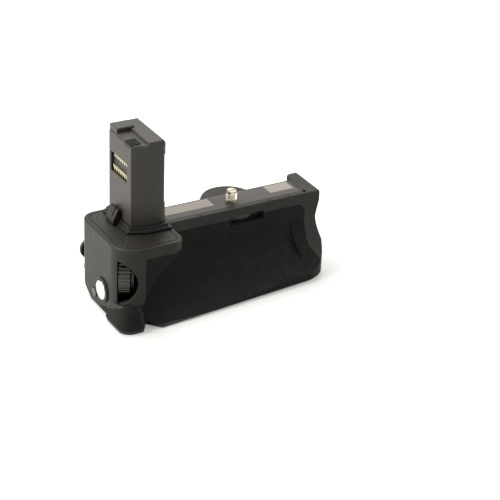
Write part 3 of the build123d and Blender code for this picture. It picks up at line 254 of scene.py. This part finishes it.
def build_lines_group():
    """Fine turning or brushing lines that run across the Z axis."""
    group, source, sink = new_group(
        "turned lines", [("Vector", 'NodeSocketVector', None), ("Scale", 'NodeSocketFloat', 5000.0)],
        [("Mask", 'NodeSocketFloat')])
    stretch = group.nodes.new('ShaderNodeMapping')
    group.links.new(source.outputs['Vector'], stretch.inputs['Vector'])
    stretch.inputs['Scale'].default_value = LINE_STRETCH
    lines = noise(group, stretch.outputs[0], source.outputs['Scale'], detail=2.0)
    group.links.new(lines, sink.inputs['Mask'])
    return group


GROUPS = {}


def group_node(tree, name, vector, **values):
    """Places a shared group in a material with its own values."""
    if not GROUPS:
        GROUPS.update({"grain": build_grain_group(), "handling": build_handling_group(),
                       "dust": build_dust_group(), "lines": build_lines_group()})
    node = tree.nodes.new('ShaderNodeGroup')
    node.node_tree = GROUPS[name]
    tree.links.new(vector, node.inputs['Vector'])
    for label, value in values.items():
        node.inputs[label].default_value = value
    return node


def mix_colour(tree, factor, first, second):
    """A colour mix of two colours or sockets."""
    node = tree.nodes.new('ShaderNodeMix')
    node.data_type = 'RGBA'
    tree.links.new(factor, node.inputs['Factor'])
    for socket, value in ((node.inputs['A'], first), (node.inputs['B'], second)):
        if isinstance(value, bpy.types.NodeSocket):
            tree.links.new(value, socket)
        else:
            socket.default_value = (*value, 1.0)
    return node.outputs['Result']


def lift(colour, share):
    """The same colour, lighter by a share of the way to white."""
    return tuple(value + (1.0 - value) * share for value in colour)


# Finishes

EDGE_SPAN = 0.45 * MM               # width over which an edge looks rounded, rubbed and lit by a painted highlight
EDGE_SAMPLES = 6
EDGE_CONTRAST = 3.0
GRAIN_SHADE = 0.86                  # the grain's darkest tone, share of the finish's colour
GRAIN_LIFT = 0.012                  # the grain's lightest tone, share of the way to white
SMUDGE_LIFT = 0.035
DUST_COLOUR = (0.6, 0.58, 0.54)
ROUGHNESS_DROP = 0.06               # the smoothest spots, under the finish's roughness
ROUGHNESS_SPAN = 0.10               # from the smoothest spots to the roughest
SMUDGE_SHINE = 0.12                 # how much smoother a smudge is
COAT_ROUGHNESS = 0.12

MATERIALS = {}


def scaled(tree, mask, share):
    """A mask times a share."""
    return math_node(tree, 'MULTIPLY', mask, share)


def edge_nodes(tree):
    """A normal rounded at the edges, and a mask of the edges themselves."""
    rounded = tree.nodes.new('ShaderNodeBevel')
    rounded.samples = EDGE_SAMPLES
    rounded.inputs['Radius'].default_value = EDGE_SPAN
    flat = tree.nodes.new('ShaderNodeNewGeometry')
    turn = tree.nodes.new('ShaderNodeVectorMath')
    turn.operation = 'DOT_PRODUCT'
    tree.links.new(rounded.outputs['Normal'], turn.inputs[0])
    tree.links.new(flat.outputs['Normal'], turn.inputs[1])
    away = math_node(tree, 'SUBTRACT', 1.0, turn.outputs['Value'])
    return rounded.outputs['Normal'], math_node(tree, 'MULTIPLY', away, EDGE_CONTRAST, clamp=True)


def finish(name, colour, roughness, grain_scale=2600.0, grain=0.25, cells=0.5, smudge=0.10, dust=0.0,
           metallic=0.0, specular=0.5, coat=0.0, spread=0.5, depth=0.06 * MM, lines=0.0, edge_wear_and_highlight=0.03):
    """A finished surface: its colour, edges, smudges, dust, grain and roughness vary over the piece; the
    edges are lightened both as wear and as a painted highlight.
    """
    if name in MATERIALS:
        return MATERIALS[name]
    material = bpy.data.materials.new(name)
    material.use_nodes = True
    tree = material.node_tree
    shader = tree.nodes['Principled BSDF']
    place = tree.nodes.new('ShaderNodeTexCoord').outputs['Object']
    texture = group_node(tree, "grain", place, Scale=grain_scale, Cells=cells)
    marks = group_node(tree, "handling", place, Spread=spread)
    shade = tuple(value * GRAIN_SHADE for value in colour)
    tone = mix_colour(tree, texture.outputs['Mask'], shade, lift(colour, GRAIN_LIFT))
    tone = mix_colour(tree, scaled(tree, marks.outputs['Mask'], smudge), tone, lift(colour, SMUDGE_LIFT))
    rounded, edges = edge_nodes(tree)
    # Edges lightened: partly wear, partly a painted highlight where edges catch the light
    tone = mix_colour(tree, edges, tone, lift(colour, edge_wear_and_highlight))
    if dust:
        specks = group_node(tree, "dust", place)
        tone = mix_colour(tree, scaled(tree, specks.outputs['Mask'], dust), tone, DUST_COLOUR)
    tree.links.new(tone, shader.inputs['Base Color'])
    rough = math_node(tree, 'ADD', roughness - ROUGHNESS_DROP,
                      scaled(tree, texture.outputs['Mask'], ROUGHNESS_SPAN))
    rough = math_node(tree, 'SUBTRACT', rough, scaled(tree, marks.outputs['Mask'], SMUDGE_SHINE))
    if lines:
        turned = group_node(tree, "lines", place)
        rough = math_node(tree, 'ADD', rough, scaled(tree, turned.outputs['Mask'], lines))
    tree.links.new(rough, shader.inputs['Roughness'])
    bump = tree.nodes.new('ShaderNodeBump')
    bump.inputs['Strength'].default_value = grain
    bump.inputs['Distance'].default_value = depth
    tree.links.new(texture.outputs['Height'], bump.inputs['Height'])
    tree.links.new(rounded, bump.inputs['Normal'])
    tree.links.new(bump.outputs['Normal'], shader.inputs['Normal'])
    shader.inputs['Metallic'].default_value = metallic
    shader.inputs['Specular IOR Level'].default_value = specular
    shader.inputs['Coat Weight'].default_value = coat
    shader.inputs['Coat Roughness'].default_value = COAT_ROUGHNESS
    MATERIALS[name] = material
    return material


# Pieces whose finish differs from the others of their slot
OWN_FINISH = {"plug_collar": "black trim", "door_catch": "black trim", "tip_terminal_block": "black trim",
              "power_ring": "black trim", "control_board": "board dark as shade", "camera_seat": "seat paint"}


def finish_values(key):
    look = bpy.context.scene.grip_finish
    grain = look.grain
    return {
        "shell_black": dict(name="shell plastic", colour=look.shell, roughness=0.50, grain=grain,
                            smudge=0.25, dust=0.35, specular=0.28),
        "cover_black": dict(name="satin cover", colour=look.cover, roughness=0.44, grain_scale=4200.0,
                            grain=grain * 0.6, smudge=0.3, dust=0.3, specular=0.22),
        "rubber_black": dict(name="grip rubber", colour=look.rubber, roughness=0.62, grain_scale=1500.0,
                             grain=grain * 1.2, cells=0.9, smudge=0.3, dust=0.5, spread=0.6,
                             specular=0.11, depth=0.09 * MM, edge_wear_and_highlight=0.012),
        "plug_black": dict(name="plug plastic", colour=look.plug, roughness=0.42, grain_scale=3400.0,
                           grain=grain * 0.7, smudge=0.35, dust=0.3, specular=0.4),
        "gloss_black": dict(name="gloss control", colour=(0.040, 0.037, 0.032), roughness=0.28,
                            grain_scale=5200.0, grain=grain * 0.2, smudge=0.3, dust=0.3, coat=0.2,
                            # the gloss controls' edges get the strongest painted highlight
                            edge_wear_and_highlight=0.10),
        "wheel_black": dict(name="wheel paint", colour=(0.055, 0.050, 0.043), roughness=0.38,
                            grain_scale=4200.0, grain=grain * 0.4),
        "steel": dict(name="nickel steel", colour=(0.60, 0.54, 0.43), roughness=0.25, grain_scale=4000.0,
                      grain=0.12, smudge=0.35, metallic=1.0, lines=0.12),
        "black_steel": dict(name="blackened steel", colour=(0.035, 0.034, 0.033), roughness=0.36,
                            grain=0.2, metallic=0.6),
        "silver": dict(name="polished button", colour=(0.86, 0.86, 0.85), roughness=0.20,
                       grain_scale=4000.0, grain=0.10, smudge=0.25, metallic=1.0, lines=0.10),
        "gold": dict(name="gold plating", colour=(0.93, 0.82, 0.52), roughness=0.22, grain_scale=4000.0,
                     grain=0.10, smudge=0.2, metallic=1.0),
        "label_grey": dict(name="blank label", colour=look.label, roughness=0.42, grain_scale=5200.0,
                           grain=0.12, smudge=0.5, spread=0.8),
        "board_green": dict(name="circuit board", colour=(0.02, 0.11, 0.05), roughness=0.35,
                            grain_scale=1800.0, grain=0.2),
        "chip_black": dict(name="chip package", colour=(0.018, 0.018, 0.018), roughness=0.55, grain=0.3),
        "battery_grey": dict(name="battery case", colour=(0.075, 0.075, 0.078), roughness=0.46,
                             grain_scale=3400.0, grain=0.2, smudge=0.4),
        "contact_block": dict(name="contact holder", colour=(0.030, 0.029, 0.027), roughness=0.50,
                              grain=0.25),
        "black trim": dict(name="black trim", colour=(0.0120, 0.0108, 0.0090), roughness=0.38,
                           grain_scale=4200.0, grain=grain * 0.5, smudge=0.25, dust=0.3, specular=0.26,
                           edge_wear_and_highlight=0.02),
        # painted shade: the control board is made near black where it shows through the notch
        "board dark as shade": dict(name="board dark as shade", colour=(0.012, 0.013, 0.011), roughness=0.45,
                             grain_scale=1800.0, grain=0.2),
        "seat paint": dict(name="seat paint", colour=look.seat, roughness=0.40, grain_scale=4200.0,
                           grain=grain * 0.6, smudge=0.3, dust=0.3, specular=0.4),
    }[key]


def node_material(node):
    """The finished material for a node: its own, or its slot's."""
    return finish(**finish_values(OWN_FINISH.get(node, SLOT_OF_NODE[node])))


# Modelling helpers

MERGE_GAP = 0.002 * MM              # vertices of a CAD node closer than this become one
FLAT_ANGLE = math.radians(0.8)      # faces that meet at less than this become one
FACING = 0.9                        # least part of a face's normal along the axis it faces


def clear_selection():
    """Leaves object mode with nothing selected."""
    if bpy.context.object and bpy.context.object.mode != 'OBJECT':
        bpy.ops.object.mode_set(mode='OBJECT')
    bpy.ops.object.select_all(action='DESELECT')


def pick(obj):
    """Selects one object alone and makes it active."""
    clear_selection()
    obj.hide_set(False)
    obj.select_set(True)
    bpy.context.view_layer.objects.active = obj


def apply_modifier(obj, kind, **values):
    """Adds one modifier to the picked object and applies it."""
    bpy.ops.object.modifier_add(type=kind)
    modifier = obj.modifiers[-1]
    for key, value in values.items():
        setattr(modifier, key, value)
    bpy.ops.object.modifier_apply(modifier=modifier.name)


def round_edges(obj, width, segments, sharper):
    """Rounds the picked object's edges that turn by more than an angle in degrees."""
    apply_modifier(obj, 'BEVEL', width=width, segments=segments, limit_method='ANGLE',
                   angle_limit=math.radians(sharper))


def added_object():
    """The object just added by an operator, with its place, turn and size fixed in its mesh."""
    bpy.ops.object.transform_apply(location=True, rotation=True, scale=True)
    return bpy.context.object


def complete_piece(obj, name, nodes, smooth):
    """Names a finished piece, fixes its place, and puts it on the body of the nodes it replaces."""
    pick(obj)
    bpy.ops.object.transform_apply(location=True, rotation=True, scale=True)
    bpy.ops.object.shade_smooth_by_angle(angle=math.radians(smooth))
    apply_modifier(obj, 'WEIGHTED_NORMAL', weight=100, keep_sharp=True)
    obj.name = name
    obj.data.name = name
    obj.data.materials.clear()
    obj.data.materials.append(node_material(nodes[0]))
    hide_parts(*nodes)
    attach(obj, BODY_OF_NODE[nodes[0]])
    clear_selection()


def merged_copy(node, name):
    """A copy of a CAD node with its vertices merged, left in edit mode with all of it selected."""
    copy = bpy.data.objects.new(name, NODES[node].data.copy())
    bpy.context.scene.collection.objects.link(copy)
    pick(copy)
    bpy.ops.object.mode_set(mode='EDIT')
    bpy.ops.mesh.select_all(action='SELECT')
    bpy.ops.mesh.remove_doubles(threshold=MERGE_GAP)
    return copy


def soften(node, name, width):
    """Replaces a CAD node by a copy with every sharp edge rounded."""
    copy = merged_copy(node, name)
    bpy.ops.mesh.dissolve_limited(angle_limit=FLAT_ANGLE)
    bpy.ops.object.mode_set(mode='OBJECT')
    round_edges(copy, width, segments=2, sharper=32.0)
    complete_piece(copy, name, [node], smooth=34.0)


def node_box(node):
    """The lowest and highest corner of a CAD node."""
    corners = [NODES[node].matrix_world @ Vector(corner) for corner in NODES[node].bound_box]
    low = Vector([min(corner[axis] for corner in corners) for axis in range(3)])
    high = Vector([max(corner[axis] for corner in corners) for axis in range(3)])
    return low, high


def pick_faces(obj, test):
    """In edit mode, selects the faces whose normal passes a test."""
    bpy.ops.mesh.select_mode(type='FACE')
    bpy.ops.mesh.select_all(action='DESELECT')
    mesh = bmesh.from_edit_mesh(obj.data)
    for face in mesh.faces:
        if test(face.normal):
            face.select_set(True)
    bmesh.update_edit_mesh(obj.data)


def join_pieces(pieces):
    """Joins pieces into the first one."""
    clear_selection()
    for piece in pieces:
        piece.select_set(True)
    bpy.context.view_layer.objects.active = pieces[0]
    bpy.ops.object.join()
    return pieces[0]


def paint_node(node):
    """Gives a CAD node that stays its finished material."""
    data = NODES[node].data
    data.materials.clear()
    data.materials.append(node_material(node))


# Pieces

class GRIP_OT_shells(bpy.types.Operator):
    """Outer shells and camera seat with rounded edges"""
    bl_idname = "grip.shells"
    bl_label = "Outer shells"

    def execute(self, context):
        sizes = context.scene.grip_sizes
        for node in ("top_cover", "lower_housing", "control_cover", "rear_cover", "tray_cap", "base_plate"):
            soften(node, node + "_shell", sizes.shell_edge)
        soften("camera_seat", "camera_seat_plate", sizes.small_edge)
        return {'FINISHED'}


PAD_MARGIN = 4.0                    # plain rim round the thumb pad's ribs, times their rise
RIB_HALF_WIDTH = 0.28               # share of the ribs' pitch
RIB_END_BEVEL = 0.08                # share of the ribs' pitch


class GRIP_OT_rubber(bpy.types.Operator):
    """Rubber coverings of the hand grip and finger rest, and the thumb pad"""
    bl_idname = "grip.rubber"
    bl_label = "Rubber coverings"

    def execute(self, context):
        sizes = context.scene.grip_sizes
        for node in ("hand_grip_rubber", "finger_rest_rubber"):
            soften(node, node + "_cover", sizes.seam_edge)
        self.thumb_pad(sizes)
        return {'FINISHED'}

    def thumb_pad(self, sizes):
        """Rounded pad with upright ribs, on the rear cover."""
        low, high = node_box("thumb_pad")
        clear_selection()
        bpy.ops.mesh.primitive_cube_add(size=1.0, location=(low + high) / 2, scale=high - low)
        pad = added_object()
        bpy.ops.object.mode_set(mode='EDIT')
        pick_faces(pad, lambda normal: normal.y > FACING)
        bpy.ops.mesh.inset(thickness=sizes.rib_rise, depth=0.0)
        bpy.ops.object.mode_set(mode='OBJECT')
        round_edges(pad, sizes.rib_rise, segments=3, sharper=40)
        margin = sizes.rib_rise * PAD_MARGIN
        pitch = (high.x - low.x - margin * 2) / sizes.pad_ribs
        half, bevel = pitch * RIB_HALF_WIDTH, pitch * RIB_END_BEVEL
        ribs = [pad]
        for index in range(sizes.pad_ribs):
            clear_selection()
            place = (low.x + margin + pitch * (index + 0.5), high.y, (low.z + high.z) / 2)
            bpy.ops.mesh.primitive_cylinder_add(vertices=16, radius=half, location=place,
                                                depth=high.z - low.z - margin * 2)
            rib = bpy.context.object
            bpy.ops.object.mode_set(mode='EDIT')
            bpy.ops.mesh.select_all(action='SELECT')
            bpy.ops.transform.resize(value=(1.0, sizes.rib_rise / half, 1.0), center_override=place)
            pick_faces(rib, lambda normal: abs(normal.z) > FACING)
            bpy.ops.mesh.inset(thickness=bevel, depth=bevel)
            bpy.ops.object.mode_set(mode='OBJECT')
            bpy.ops.object.transform_apply(location=True, rotation=True, scale=True)
            ribs.append(rib)
        complete_piece(join_pieces(ribs), "thumb_pad_ribbed", ["thumb_pad"], smooth=40.0)


class GRIP_OT_plug(bpy.types.Operator):
    """Battery plug with its collar, door catch, terminal block and contacts"""
    bl_idname = "grip.plug"
    bl_label = "Battery plug"

    def execute(self, context):
        sizes = context.scene.grip_sizes
        soften("plug_shell", "plug_case", sizes.shell_edge)
        soften("plug_collar", "plug_foot_collar", sizes.shell_edge)
        soften("door_catch", "door_catch_lever", sizes.small_edge * 2)
        soften("tip_terminal_block", "terminal_block", sizes.small_edge)
        for node in ("plug_contact_board", "plug_upper_contacts", "plug_spring_contacts"):
            paint_node(node)
        return {'FINISHED'}


BUTTON_HEAD = 0.17                  # the shutter button's head, share of the button's length
BUTTON_RIM = 0.08                   # flat rim of its face, share of its radius
BUTTON_LIP = 0.05                   # slope inside the rim, share of its radius
BUTTON_LIP_DROP = 0.25              # fall of that slope, share of the dish's depth
BUTTON_DISH = 0.8                   # reach of the dish's rings, share of its radius
BUTTON_DISH_RINGS = 6
BUTTON_DISH_SLOPE = 0.4             # about twice the outermost ring's fall, share of the dish's depth
BUTTON_SHOULDER = 0.57              # from the head's edge in to the stem, share of its radius
BUTTON_EDGE = 0.035                 # roundness of its edges, share of its radius


class GRIP_OT_controls(bpy.types.Operator):
    """Buttons, dials, lever, ring, thumb wheel and tray lock"""
    bl_idname = "grip.controls"
    bl_label = "Controls"

    def execute(self, context):
        sizes = context.scene.grip_sizes
        for node in ("power_ring", "end_button", "front_dial", "rear_dial", "mode_lever", "mode_button",
                     "rear_button", "thumb_wheel", "tray_lock"):
            soften(node, node + "_part", sizes.small_edge)
        self.shutter_button(sizes)
        return {'FINISHED'}

    def shutter_button(self, sizes):
        """Dished metal button on its stem."""
        low, high = node_box("shutter_button")
        radius = (high.y - low.y) / 2
        head = (high.x - low.x) * BUTTON_HEAD
        centre = (low.x + head / 2, (low.y + high.y) / 2, (low.z + high.z) / 2)
        clear_selection()
        bpy.ops.mesh.primitive_cylinder_add(vertices=96, radius=radius, depth=head, location=centre,
                                            rotation=(0.0, math.pi / 2, 0.0))
        button = added_object()
        bpy.ops.object.mode_set(mode='EDIT')
        pick_faces(button, lambda normal: normal.x < -FACING)
        bpy.ops.mesh.inset(thickness=radius * BUTTON_RIM, depth=0.0)
        bpy.ops.mesh.inset(thickness=radius * BUTTON_LIP, depth=-sizes.dish_depth * BUTTON_LIP_DROP)
        rings = BUTTON_DISH_RINGS
        for ring in range(rings):
            flatter = (math.cos(math.pi / 2 * ring / rings) - math.cos(math.pi / 2 * (ring + 1) / rings)) / 2
            bpy.ops.mesh.inset(thickness=radius * BUTTON_DISH / rings,
                               depth=-sizes.dish_depth * (BUTTON_DISH_SLOPE - flatter) / 2)
        pick_faces(button, lambda normal: normal.x > FACING)
        bpy.ops.mesh.inset(thickness=radius * BUTTON_SHOULDER, depth=0.0)
        stem = high.x - low.x - head
        bpy.ops.mesh.extrude_region_move(TRANSFORM_OT_translate={"value": (stem, 0.0, 0.0)})
        bpy.ops.object.mode_set(mode='OBJECT')
        round_edges(button, radius * BUTTON_EDGE, segments=3, sharper=40)
        complete_piece(button, "shutter_button_dished", ["shutter_button"], smooth=40.0)


SCREW_END_BEVEL = 0.7               # share of the thread's depth
SLOT_CUTTER_LENGTH = 3              # times the radius under the thread
SLOT_CUTTER_HEIGHT = 2.4            # times the thread's depth; its lower half cuts
RIDGE_HALF_FOOT = 0.44              # half of the thread ridge's foot, share of the pitch
THREAD_STEPS = 48                   # steps in one turn of the thread
THREAD_MERGE_GAP = 0.0001 * MM


class GRIP_OT_screw(bpy.types.Operator):
    """Camera screw"""
    bl_idname = "grip.camera_screw"
    bl_label = "Camera screw"

    def execute(self, context):
        sizes = context.scene.grip_sizes
        screw = join_pieces([self.pinion(sizes), self.core(sizes), self.thread(sizes)])
        complete_piece(screw, "camera_screw_threaded", ["camera_screw"], smooth=35.0)
        return {'FINISHED'}

    def pinion(self, sizes):
        """The screw's lower end with its pinion, cut from the CAD node under the thread."""
        copy = merged_copy("camera_screw", "screw_pinion")
        bpy.ops.mesh.bisect(plane_co=(0.0, 0.0, sizes.screw_foot), plane_no=(0.0, 0.0, 1.0), use_fill=True,
                            clear_outer=True)
        bpy.ops.object.mode_set(mode='OBJECT')
        return copy

    def core(self, sizes):
        """Bar under the thread, with a bevelled end and a slot across it."""
        root = sizes.screw_radius - sizes.thread_depth
        middle = (sizes.screw_top + sizes.screw_foot) / 2
        clear_selection()
        bpy.ops.mesh.primitive_cylinder_add(vertices=64, radius=root, location=(0.0, 0.0, middle),
                                            depth=sizes.screw_top - sizes.screw_foot)
        bar = added_object()
        bpy.ops.object.mode_set(mode='EDIT')
        pick_faces(bar, lambda normal: normal.z > FACING)
        bpy.ops.mesh.bevel(offset=sizes.thread_depth * SCREW_END_BEVEL, segments=3)
        bpy.ops.object.mode_set(mode='OBJECT')
        clear_selection()
        bpy.ops.mesh.primitive_cube_add(
            size=1.0, location=(0.0, 0.0, sizes.screw_top),
            scale=(root * SLOT_CUTTER_LENGTH, sizes.screw_slot, sizes.thread_depth * SLOT_CUTTER_HEIGHT))
        cutter = added_object()
        pick(bar)
        apply_modifier(bar, 'BOOLEAN', operation='DIFFERENCE', object=cutter, solver='EXACT')
        bpy.data.objects.remove(cutter)
        return bar

    def thread(self, sizes):
        """Raised helical thread, wound from one ridge section."""
        root = sizes.screw_radius - sizes.thread_depth
        half = sizes.thread_pitch * RIDGE_HALF_FOOT
        length = sizes.screw_top - sizes.screw_foot - sizes.thread_depth - half * 2
        turns = int(length / sizes.thread_pitch)
        clear_selection()
        bpy.ops.mesh.primitive_circle_add(vertices=4, radius=sizes.thread_depth, fill_type='NOTHING',
                                          location=(root, 0.0, sizes.screw_foot + half),
                                          rotation=(math.pi / 2, 0.0, 0.0))
        ridge = added_object()
        bpy.ops.object.mode_set(mode='EDIT')
        bpy.ops.mesh.select_all(action='SELECT')
        bpy.ops.transform.resize(value=(1.0, 1.0, half / sizes.thread_depth),
                                 center_override=(root, 0.0, sizes.screw_foot + half))
        bpy.ops.object.mode_set(mode='OBJECT')
        apply_modifier(ridge, 'SCREW', axis='Z', angle=math.tau, screw_offset=sizes.thread_pitch,
                       iterations=turns, steps=THREAD_STEPS, render_steps=THREAD_STEPS)
        bpy.ops.object.mode_set(mode='EDIT')
        bpy.ops.mesh.select_all(action='SELECT')
        bpy.ops.mesh.remove_doubles(threshold=THREAD_MERGE_GAP)
        bpy.ops.mesh.fill_holes(sides=0)
        bpy.ops.mesh.select_all(action='SELECT')
        bpy.ops.mesh.normals_make_consistent(inside=False)
        bpy.ops.object.mode_set(mode='OBJECT')
        return ridge


class GRIP_OT_details(bpy.types.Operator):
    """Finishes of the labels, fasteners, electronics, batteries and tray"""
    bl_idname = "grip.details"
    bl_label = "Details"

    def execute(self, context):
        for node in NODES:
            if not NODES[node].hide_render:
                paint_node(node)
        return {'FINISHED'}


# Studio

FLOOR_SIZE = 8.0
FLOOR_DROP = 0.1 * MM               # keeps the floor just under the base
FLOOR_CLOUDS = 3.0                  # scale of the floor's faint unevenness
FLOOR_CLOUD_LIFT = 0.3
FLOOR_LIGHT = (1.0, 0.995, 0.985, 1.0)
FLOOR_ROUGHNESS = 0.8
FLOOR_SPECULAR = 0.1
WHITE = (1.0, 1.0, 1.0, 1.0)
SENSOR_WIDTH = 36.0                 # millimetres
VIEW_REACH = 20.0

# Each lamp's name, place, aim, size, power in watts, and colour
LAMPS = (
    ("left_softbox", (-0.80, 0.12, 0.42), (-0.03, 0.0, 0.03), (0.5, 0.6), 6.8, (1.0, 0.98, 0.945)),
    ("top_softbox", (0.05, 0.45, 0.85), (0.0, 0.0, 0.03), (0.9, 0.5), 6.8, (1.0, 0.985, 0.955)),
    ("right_fill", (0.90, -0.14, 0.34), (0.03, 0.0, 0.03), (0.5, 0.5), 3.8, (1.0, 0.965, 0.92)),
)


def add_lamp(name, place, aim, size, power, colour):
    """A rectangular area lamp that faces a point."""
    clear_selection()
    bpy.ops.object.light_add(type='AREA', location=place)
    lamp = bpy.context.object
    lamp.name = name
    lamp.data.shape = 'RECTANGLE'
    lamp.data.size, lamp.data.size_y = size
    lamp.data.energy = power
    lamp.data.color = colour
    lamp.rotation_euler = (Vector(aim) - Vector(place)).to_track_quat('-Z', 'Y').to_euler()


def shown_rays(tree):
    """One for the rays that show the background: camera, gloss and glass."""
    rays = tree.nodes.new('ShaderNodeLightPath')
    direct = math_node(tree, 'MAXIMUM', rays.outputs['Is Camera Ray'], rays.outputs['Is Glossy Ray'])
    return math_node(tree, 'MAXIMUM', direct, rays.outputs['Is Transmission Ray'])


class GRIP_OT_studio(bpy.types.Operator):
    """Floor, soft light, white background and the camera"""
    bl_idname = "grip.studio"
    bl_label = "Studio"

    def execute(self, context):
        studio = context.scene.grip_studio
        self.floor(studio)
        self.camera(studio)
        for lamp in LAMPS:
            add_lamp(*lamp)
        self.backdrop(studio)
        context.scene.view_settings.view_transform = 'Standard'
        return {'FINISHED'}

    def floor(self, studio):
        """Pale floor that shows the grip's shadow and lightens into the backdrop."""
        clear_selection()
        bpy.ops.mesh.primitive_plane_add(size=FLOOR_SIZE, location=(0.0, 0.0, -FLOOR_DROP))
        floor = bpy.context.object
        floor.name = "studio_floor"
        material = bpy.data.materials.new("studio floor")
        material.use_nodes = True
        tree = material.node_tree
        shader = tree.nodes['Principled BSDF']
        place = tree.nodes.new('ShaderNodeTexCoord').outputs['Object']
        seen = shown_rays(tree)
        colour = tuple(studio.floor)
        pale = mix_colour(tree, noise(tree, place, FLOOR_CLOUDS), colour, lift(colour, FLOOR_CLOUD_LIFT))
        bounced = tuple(value * studio.bounce for value in colour)
        tree.links.new(mix_colour(tree, seen, bounced, pale), shader.inputs['Base Color'])
        tree.links.new(self.floor_glow(tree, place, seen, studio), shader.inputs['Emission Strength'])
        shader.inputs['Emission Color'].default_value = FLOOR_LIGHT
        shader.inputs['Roughness'].default_value = FLOOR_ROUGHNESS
        shader.inputs['Specular IOR Level'].default_value = FLOOR_SPECULAR
        floor.data.materials.append(material)

    def floor_glow(self, tree, place, seen, studio):
        """The floor's own light for the rays that show it, stronger with the distance past its near part."""
        away = tree.nodes.new('ShaderNodeVectorMath')
        away.operation = 'LENGTH'
        tree.links.new(place, away.inputs[0])
        past = math_node(tree, 'SUBTRACT', away.outputs['Value'], studio.near)
        far = math_node(tree, 'MULTIPLY', past, 1.0 - studio.glow, clamp=True)
        return math_node(tree, 'MULTIPLY', seen, math_node(tree, 'ADD', far, studio.glow))

    def camera(self, studio):
        """Camera that looks at the aim point from the studio's bearing, elevation and roll."""
        bearing, elevation, roll = studio.bearing, studio.elevation, studio.roll
        forward = Vector((math.sin(bearing) * math.cos(elevation),
                          math.cos(bearing) * math.cos(elevation), -math.sin(elevation)))
        level = Vector((math.cos(bearing), -math.sin(bearing), 0.0))
        upright = level.cross(forward)
        right = level * math.cos(roll) + upright * math.sin(roll)
        up = upright * math.cos(roll) - level * math.sin(roll)
        place = Vector(studio.aim) - forward * studio.distance
        bpy.ops.object.camera_add(location=place)
        camera = bpy.context.object
        turn = Matrix((right, up, -forward)).transposed()
        camera.matrix_world = Matrix.Translation(place) @ turn.to_4x4()
        camera.data.sensor_width = SENSOR_WIDTH
        camera.data.lens = studio.focal
        camera.data.clip_end = VIEW_REACH
        bpy.context.scene.camera = camera

    def backdrop(self, studio):
        """White background, dimmer for the rays that only light the grip."""
        scene = bpy.context.scene
        scene.world = scene.world or bpy.data.worlds.new("studio world")
        scene.world.use_nodes = True
        tree = scene.world.node_tree
        shader = tree.nodes.get('Background') or tree.nodes.new('ShaderNodeBackground')
        shown = math_node(tree, 'MULTIPLY', shown_rays(tree), 1.0 - studio.ambient)
        tree.links.new(math_node(tree, 'ADD', studio.ambient, shown), shader.inputs['Strength'])
        shader.inputs['Color'].default_value = WHITE


OPERATORS = (GRIP_OT_shells, GRIP_OT_rubber, GRIP_OT_plug, GRIP_OT_controls, GRIP_OT_screw, GRIP_OT_details,
             GRIP_OT_studio)


class GRIP_PT_panel(bpy.types.Panel):
    """Sidebar panel that lists the grip's pieces and settings"""
    bl_idname = "GRIP_PT_panel"
    bl_label = "Camera battery grip"
    bl_space_type = 'VIEW_3D'
    bl_region_type = 'UI'
    bl_category = "Grip"

    def draw(self, context):
        column = self.layout.column()
        for operator in OPERATORS:
            column.operator(operator.bl_idname)
        for settings in (context.scene.grip_sizes, context.scene.grip_finish, context.scene.grip_studio):
            for key in settings.__annotations__:
                column.prop(settings, key)


CLASSES = (GripSizes, GripFinish, GripStudio, *OPERATORS, GRIP_PT_panel)


def register():
    for cls in CLASSES:
        bpy.utils.register_class(cls)
    bpy.types.Scene.grip_sizes = PointerProperty(type=GripSizes)
    bpy.types.Scene.grip_finish = PointerProperty(type=GripFinish)
    bpy.types.Scene.grip_studio = PointerProperty(type=GripStudio)


def unregister():
    del bpy.types.Scene.grip_studio
    del bpy.types.Scene.grip_finish
    del bpy.types.Scene.grip_sizes
    for cls in reversed(CLASSES):
        bpy.utils.unregister_class(cls)


def main():
    """Builds the whole grip and its studio."""
    register()
    bpy.ops.grip.shells()
    bpy.ops.grip.rubber()
    bpy.ops.grip.plug()
    bpy.ops.grip.controls()
    bpy.ops.grip.camera_screw()
    bpy.ops.grip.details()
    bpy.ops.grip.studio()


if __name__ == "__main__":
    main()
